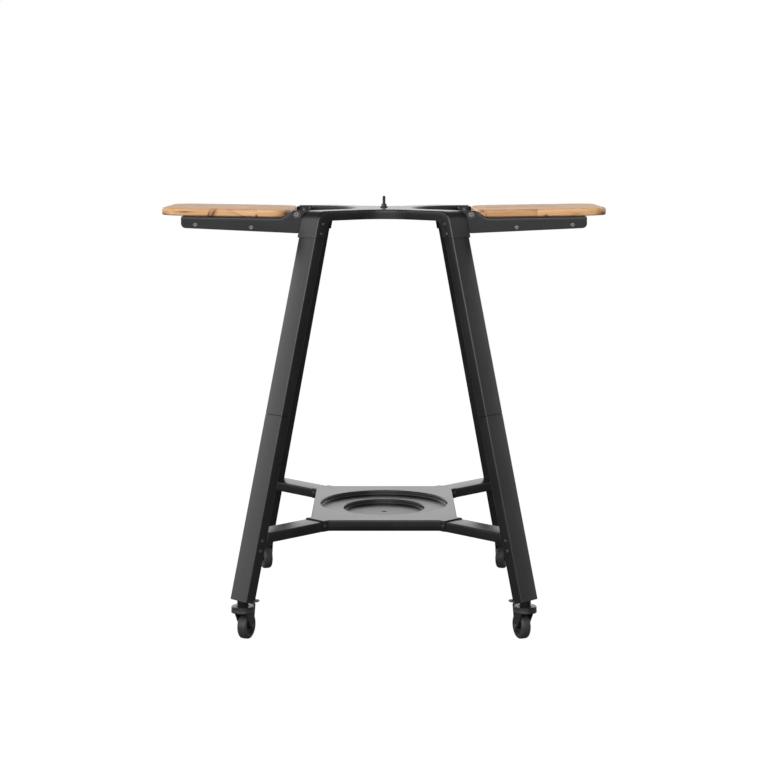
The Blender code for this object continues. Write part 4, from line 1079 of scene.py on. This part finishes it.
def makePedal(name, spot, body):
    x, z, plateHalf, ease = caster["pedalX"], caster["pedalZ"], pedal["plateHalf"], pedal["plateEdge"]
    low, high, middle = z + pedal["plateBottom"], z + pedal["plateTop"], x + pedal["plateX"]
    pin, barrel = [pedal["pin"]] * 2, [pedal["barrel"]] * 2
    ends = np.array([pedal["pinHalf"], pedal["barrelHalf"], pedal["barrelHalf"]])
    part = Part().solid(onAxle(turnedGrid([*pin, *barrel, *pin], [*-ends, *ends[::-1]], 28), x, z), spot)
    # plate: a rounded rectangle seen from above, eased over both rims, that lifts evenly towards its
    # free end
    rings = []
    for inset, height in ((ease, low), (0, low + ease), (0, high - ease), (ease, high)):
        planX, planY = roundedRect(plateHalf - inset, pedal["halfWidth"] - inset,
                                   pedal["plateCorner"] - inset, 9)
        lift = pedal["lift"] * (planX / plateHalf + 1) / 2
        rings.append(np.stack([middle + planX, planY, height + lift], axis=-1))
    part.solid(np.stack(rings), spot)
    outlines = [(middle + plateHalf * share + np.array(pedal["ribX"]),
                 high + pedal["lift"] * (share + 1) / 2 + np.array(pedal["ribZ"]),
                 pedal["halfWidth"] * pedal["ribShare"]) for share in pedal["ribs"]]
    outlines.append((x + np.array(pedal["neckX"]), z + np.array(pedal["neckZ"]), pedal["neckHalf"]))
    # the cam is a bar from the pin towards the axle, turned back by what the pedal is pressed through
    rest = np.arctan2(caster["wheelRadius"] - z, caster["trail"] - x) + np.radians(pedal["press"])
    tip = np.array([[np.cos(rest)], [np.sin(rest)]]) * pedal["camReach"]
    sideways = np.array([[-np.sin(rest)], [np.cos(rest)]]) * pedal["camHalf"]
    taper = pedal["camTaper"]
    camX, camZ = np.array([[x], [z]]) + tip * [0, 1, 1, 0] + sideways * [-1, -taper, taper, 1]
    outlines.append((camX, camZ, pedal["camWidth"]))
    for outlineX, outlineZ, reach in outlines:
        part.solid(prismGrid(outlineX, outlineZ, -reach, reach), spot)
    piece(f"brakePedal.{name}", part, casterSteelWithHighlight, [f"brake_pedal_{name}"], body,
          bevel=pedal["bevel"])


# Stems: a retaining collar inside the cup, a pin through its bore, and a boss under the leg

stem = {"collar": 0.009, "collarDrop": 0.0064, "collarThick": 0.003, "collarEdge": 0.0004,
        "collarFoot": 0.0005, "pin": 0.0049, "boss": 0.0135, "edge": 0.0012, "lift": 0.0004,
        "play": 0.0003, "pinRise": 0.018}


def makeStem(name, spot):
    top, pin, boss, edge = footHeight - stem["play"], stem["pin"], stem["boss"], stem["edge"]
    collar, low = fork["cupTop"] - stem["collarDrop"], fork["cupTop"] + stem["lift"]
    thick, foot = stem["collarThick"], stem["collarFoot"]
    grid = turnedGrid([stem["collar"] - stem["collarEdge"], stem["collar"], stem["collar"], pin, pin,
                       boss - edge, boss, boss, boss - edge, pin, pin],
                      [collar - thick - foot, collar - thick, collar, collar, low, low, low + edge,
                       top - edge, top, top, top + stem["pinRise"]])
    # the boss's darker black is painted shade under the leg
    piece(f"casterStem.{name}", Part().solid(grid, spot), bossPaintedShadeSteel,
          [f"caster_stem_{name}"], sharp=30)


for name, corner in corners.items():
    casterSpot = casterFrame(corner)
    makeFork(name, casterSpot, f"fork_{name}")
    makePedal(name, casterSpot, f"pedal_{name}")
    makeStem(name, casterSpot)
    makeWheel(name, casterSpot)
print("casters made")

# The CAD solids that stay: joiners inside the legs and plugs in their lower ends
keptFinishes = {"leg_joiner": blackSteel, "leg_plug": plastic}
for nodeName, item in frame["nodes"].items():
    for start, finish in keptFinishes.items():
        if nodeName.startswith(start):
            item.data.materials.clear()
            item.data.materials.append(finish)


# Floor, light and camera. The lights to the sides, the front and above are shares of full white, and
# each fades in between two shares of the way to its side or up

studio = {"floorSize": 30.0, "floorHeight": -0.0005, "floorWhite": 1.3, "shadowShare": 0.3,
          "floorColour": (0.8, 0.8, 0.8, 1), "floorSeen": (0.2, 0.2, 0.2, 1), "backdrop": 1.55,
          "around": 0.05, "left": 1.7, "right": 0.58, "front": 0.8, "above": 0.05, "horizonDim": 0.35,
          "overhead": (0.3, 0.6), "panelFoot": (-0.06, 0.14), "horizonFade": (0.01, 0.14),
          "behind": (0.1, 0.6), "beside": (0.25, 0.8), "before": (0.8, 0.97), "frontFoot": (-0.16, 0.02),
          "zenith": (0.6, 0.95),
          "lampPower": 330.0, "lampSize": (9.0, 3.6), "lampPlace": (-0.8, -6.0, 3.5), "lampAim": (0, 0, 0.8)}
photo = {"lens": 85.0, "sensor": 36.0, "distance": 4.6452, "height": 1.19407, "pitch": 7.615}


def makeFloor():
    finish = Finish("floorWhite")
    # dark to the stand, so that it isn't mirrored; white to the camera, with part of it left to shadow
    camera = finish.node("ShaderNodeLightPath", output="Is Camera Ray")
    diffuse = finish.node("ShaderNodeBsdfDiffuse", {}, {
        "Color": finish.mix(camera, studio["floorSeen"], studio["floorColour"])})
    glow = finish.node("ShaderNodeEmission", {}, {"Strength": studio["floorWhite"]})
    mixed = finish.node("ShaderNodeMixShader", {}, {
        0: camera * (1 - studio["shadowShare"]), 1: diffuse, 2: glow})
    finish.feed(finish.first("OUTPUT_MATERIAL"), {"Surface": mixed})
    finish.tree.nodes.remove(finish.first("BSDF_PRINCIPLED"))
    x, y = np.meshgrid(*[np.array([-0.5, 0.5]) * studio["floorSize"]] * 2)
    grid = np.stack([x, y, 0 * x + studio["floorHeight"]], axis=-1)
    floor = inScene("floor", Part().add(grid).mesh("floor", sheet=True))
    floor.data.materials.append(finish.material)


def makeWorld():
    # white to the camera. The stand sees a white backdrop behind it, a bright panel on its left and a
    # dimmer one on its right from the horizon up, one in front, a little light above, and dark below
    world = bpy.data.worlds.new("studio")
    world.use_nodes = True
    bpy.context.scene.world = world
    sky = Finish("studio", world.node_tree)
    x, y, z = sky.split(sky.node("ShaderNodeTexCoord", output="Generated"))
    camera = sky.node("ShaderNodeLightPath", output="Is Camera Ray")
    low = 1 - z.ramp(*studio["overhead"])
    raised = z.ramp(*studio["panelFoot"]) * low
    horizon = 1 - (1 - z.ramp(*studio["horizonFade"])) * studio["horizonDim"]
    light = (studio["around"] + y.ramp(*studio["behind"]) * low * horizon * studio["backdrop"]
             + (0 - x).ramp(*studio["beside"]) * raised * studio["left"]
             + x.ramp(*studio["beside"]) * raised * studio["right"]
             + (0 - y).ramp(*studio["before"]) * z.ramp(*studio["frontFoot"]) * studio["front"]
             + z.ramp(*studio["zenith"]) * studio["above"])
    sky.feed(sky.first("BACKGROUND"), {"Color": (1, 1, 1, 1), "Strength": camera + (1 - camera) * light})


def makeLamp():
    lamp = bpy.data.lights.new("frontSoftbox", "AREA")
    lamp.energy, lamp.shape = studio["lampPower"], "RECTANGLE"
    lamp.size, lamp.size_y = studio["lampSize"]
    away = np.array(studio["lampPlace"]) - studio["lampAim"]
    inScene("frontSoftbox", lamp).matrix_world = Matrix(facing(away, studio["lampPlace"]).tolist())


def makeCamera():
    lens = bpy.data.cameras.new("camera")
    lens.lens, lens.sensor_width, lens.clip_end = photo["lens"], photo["sensor"], 100
    camera = inScene("camera", lens)
    camera.location = (0, -photo["distance"], photo["height"])
    camera.rotation_euler = (np.radians(90 - photo["pitch"]), 0, 0)
    bpy.context.scene.camera = camera


makeFloor()
makeWorld()
makeLamp()
makeCamera()
bpy.context.scene.view_settings.view_transform = "Standard"
print("floor, light and camera made")
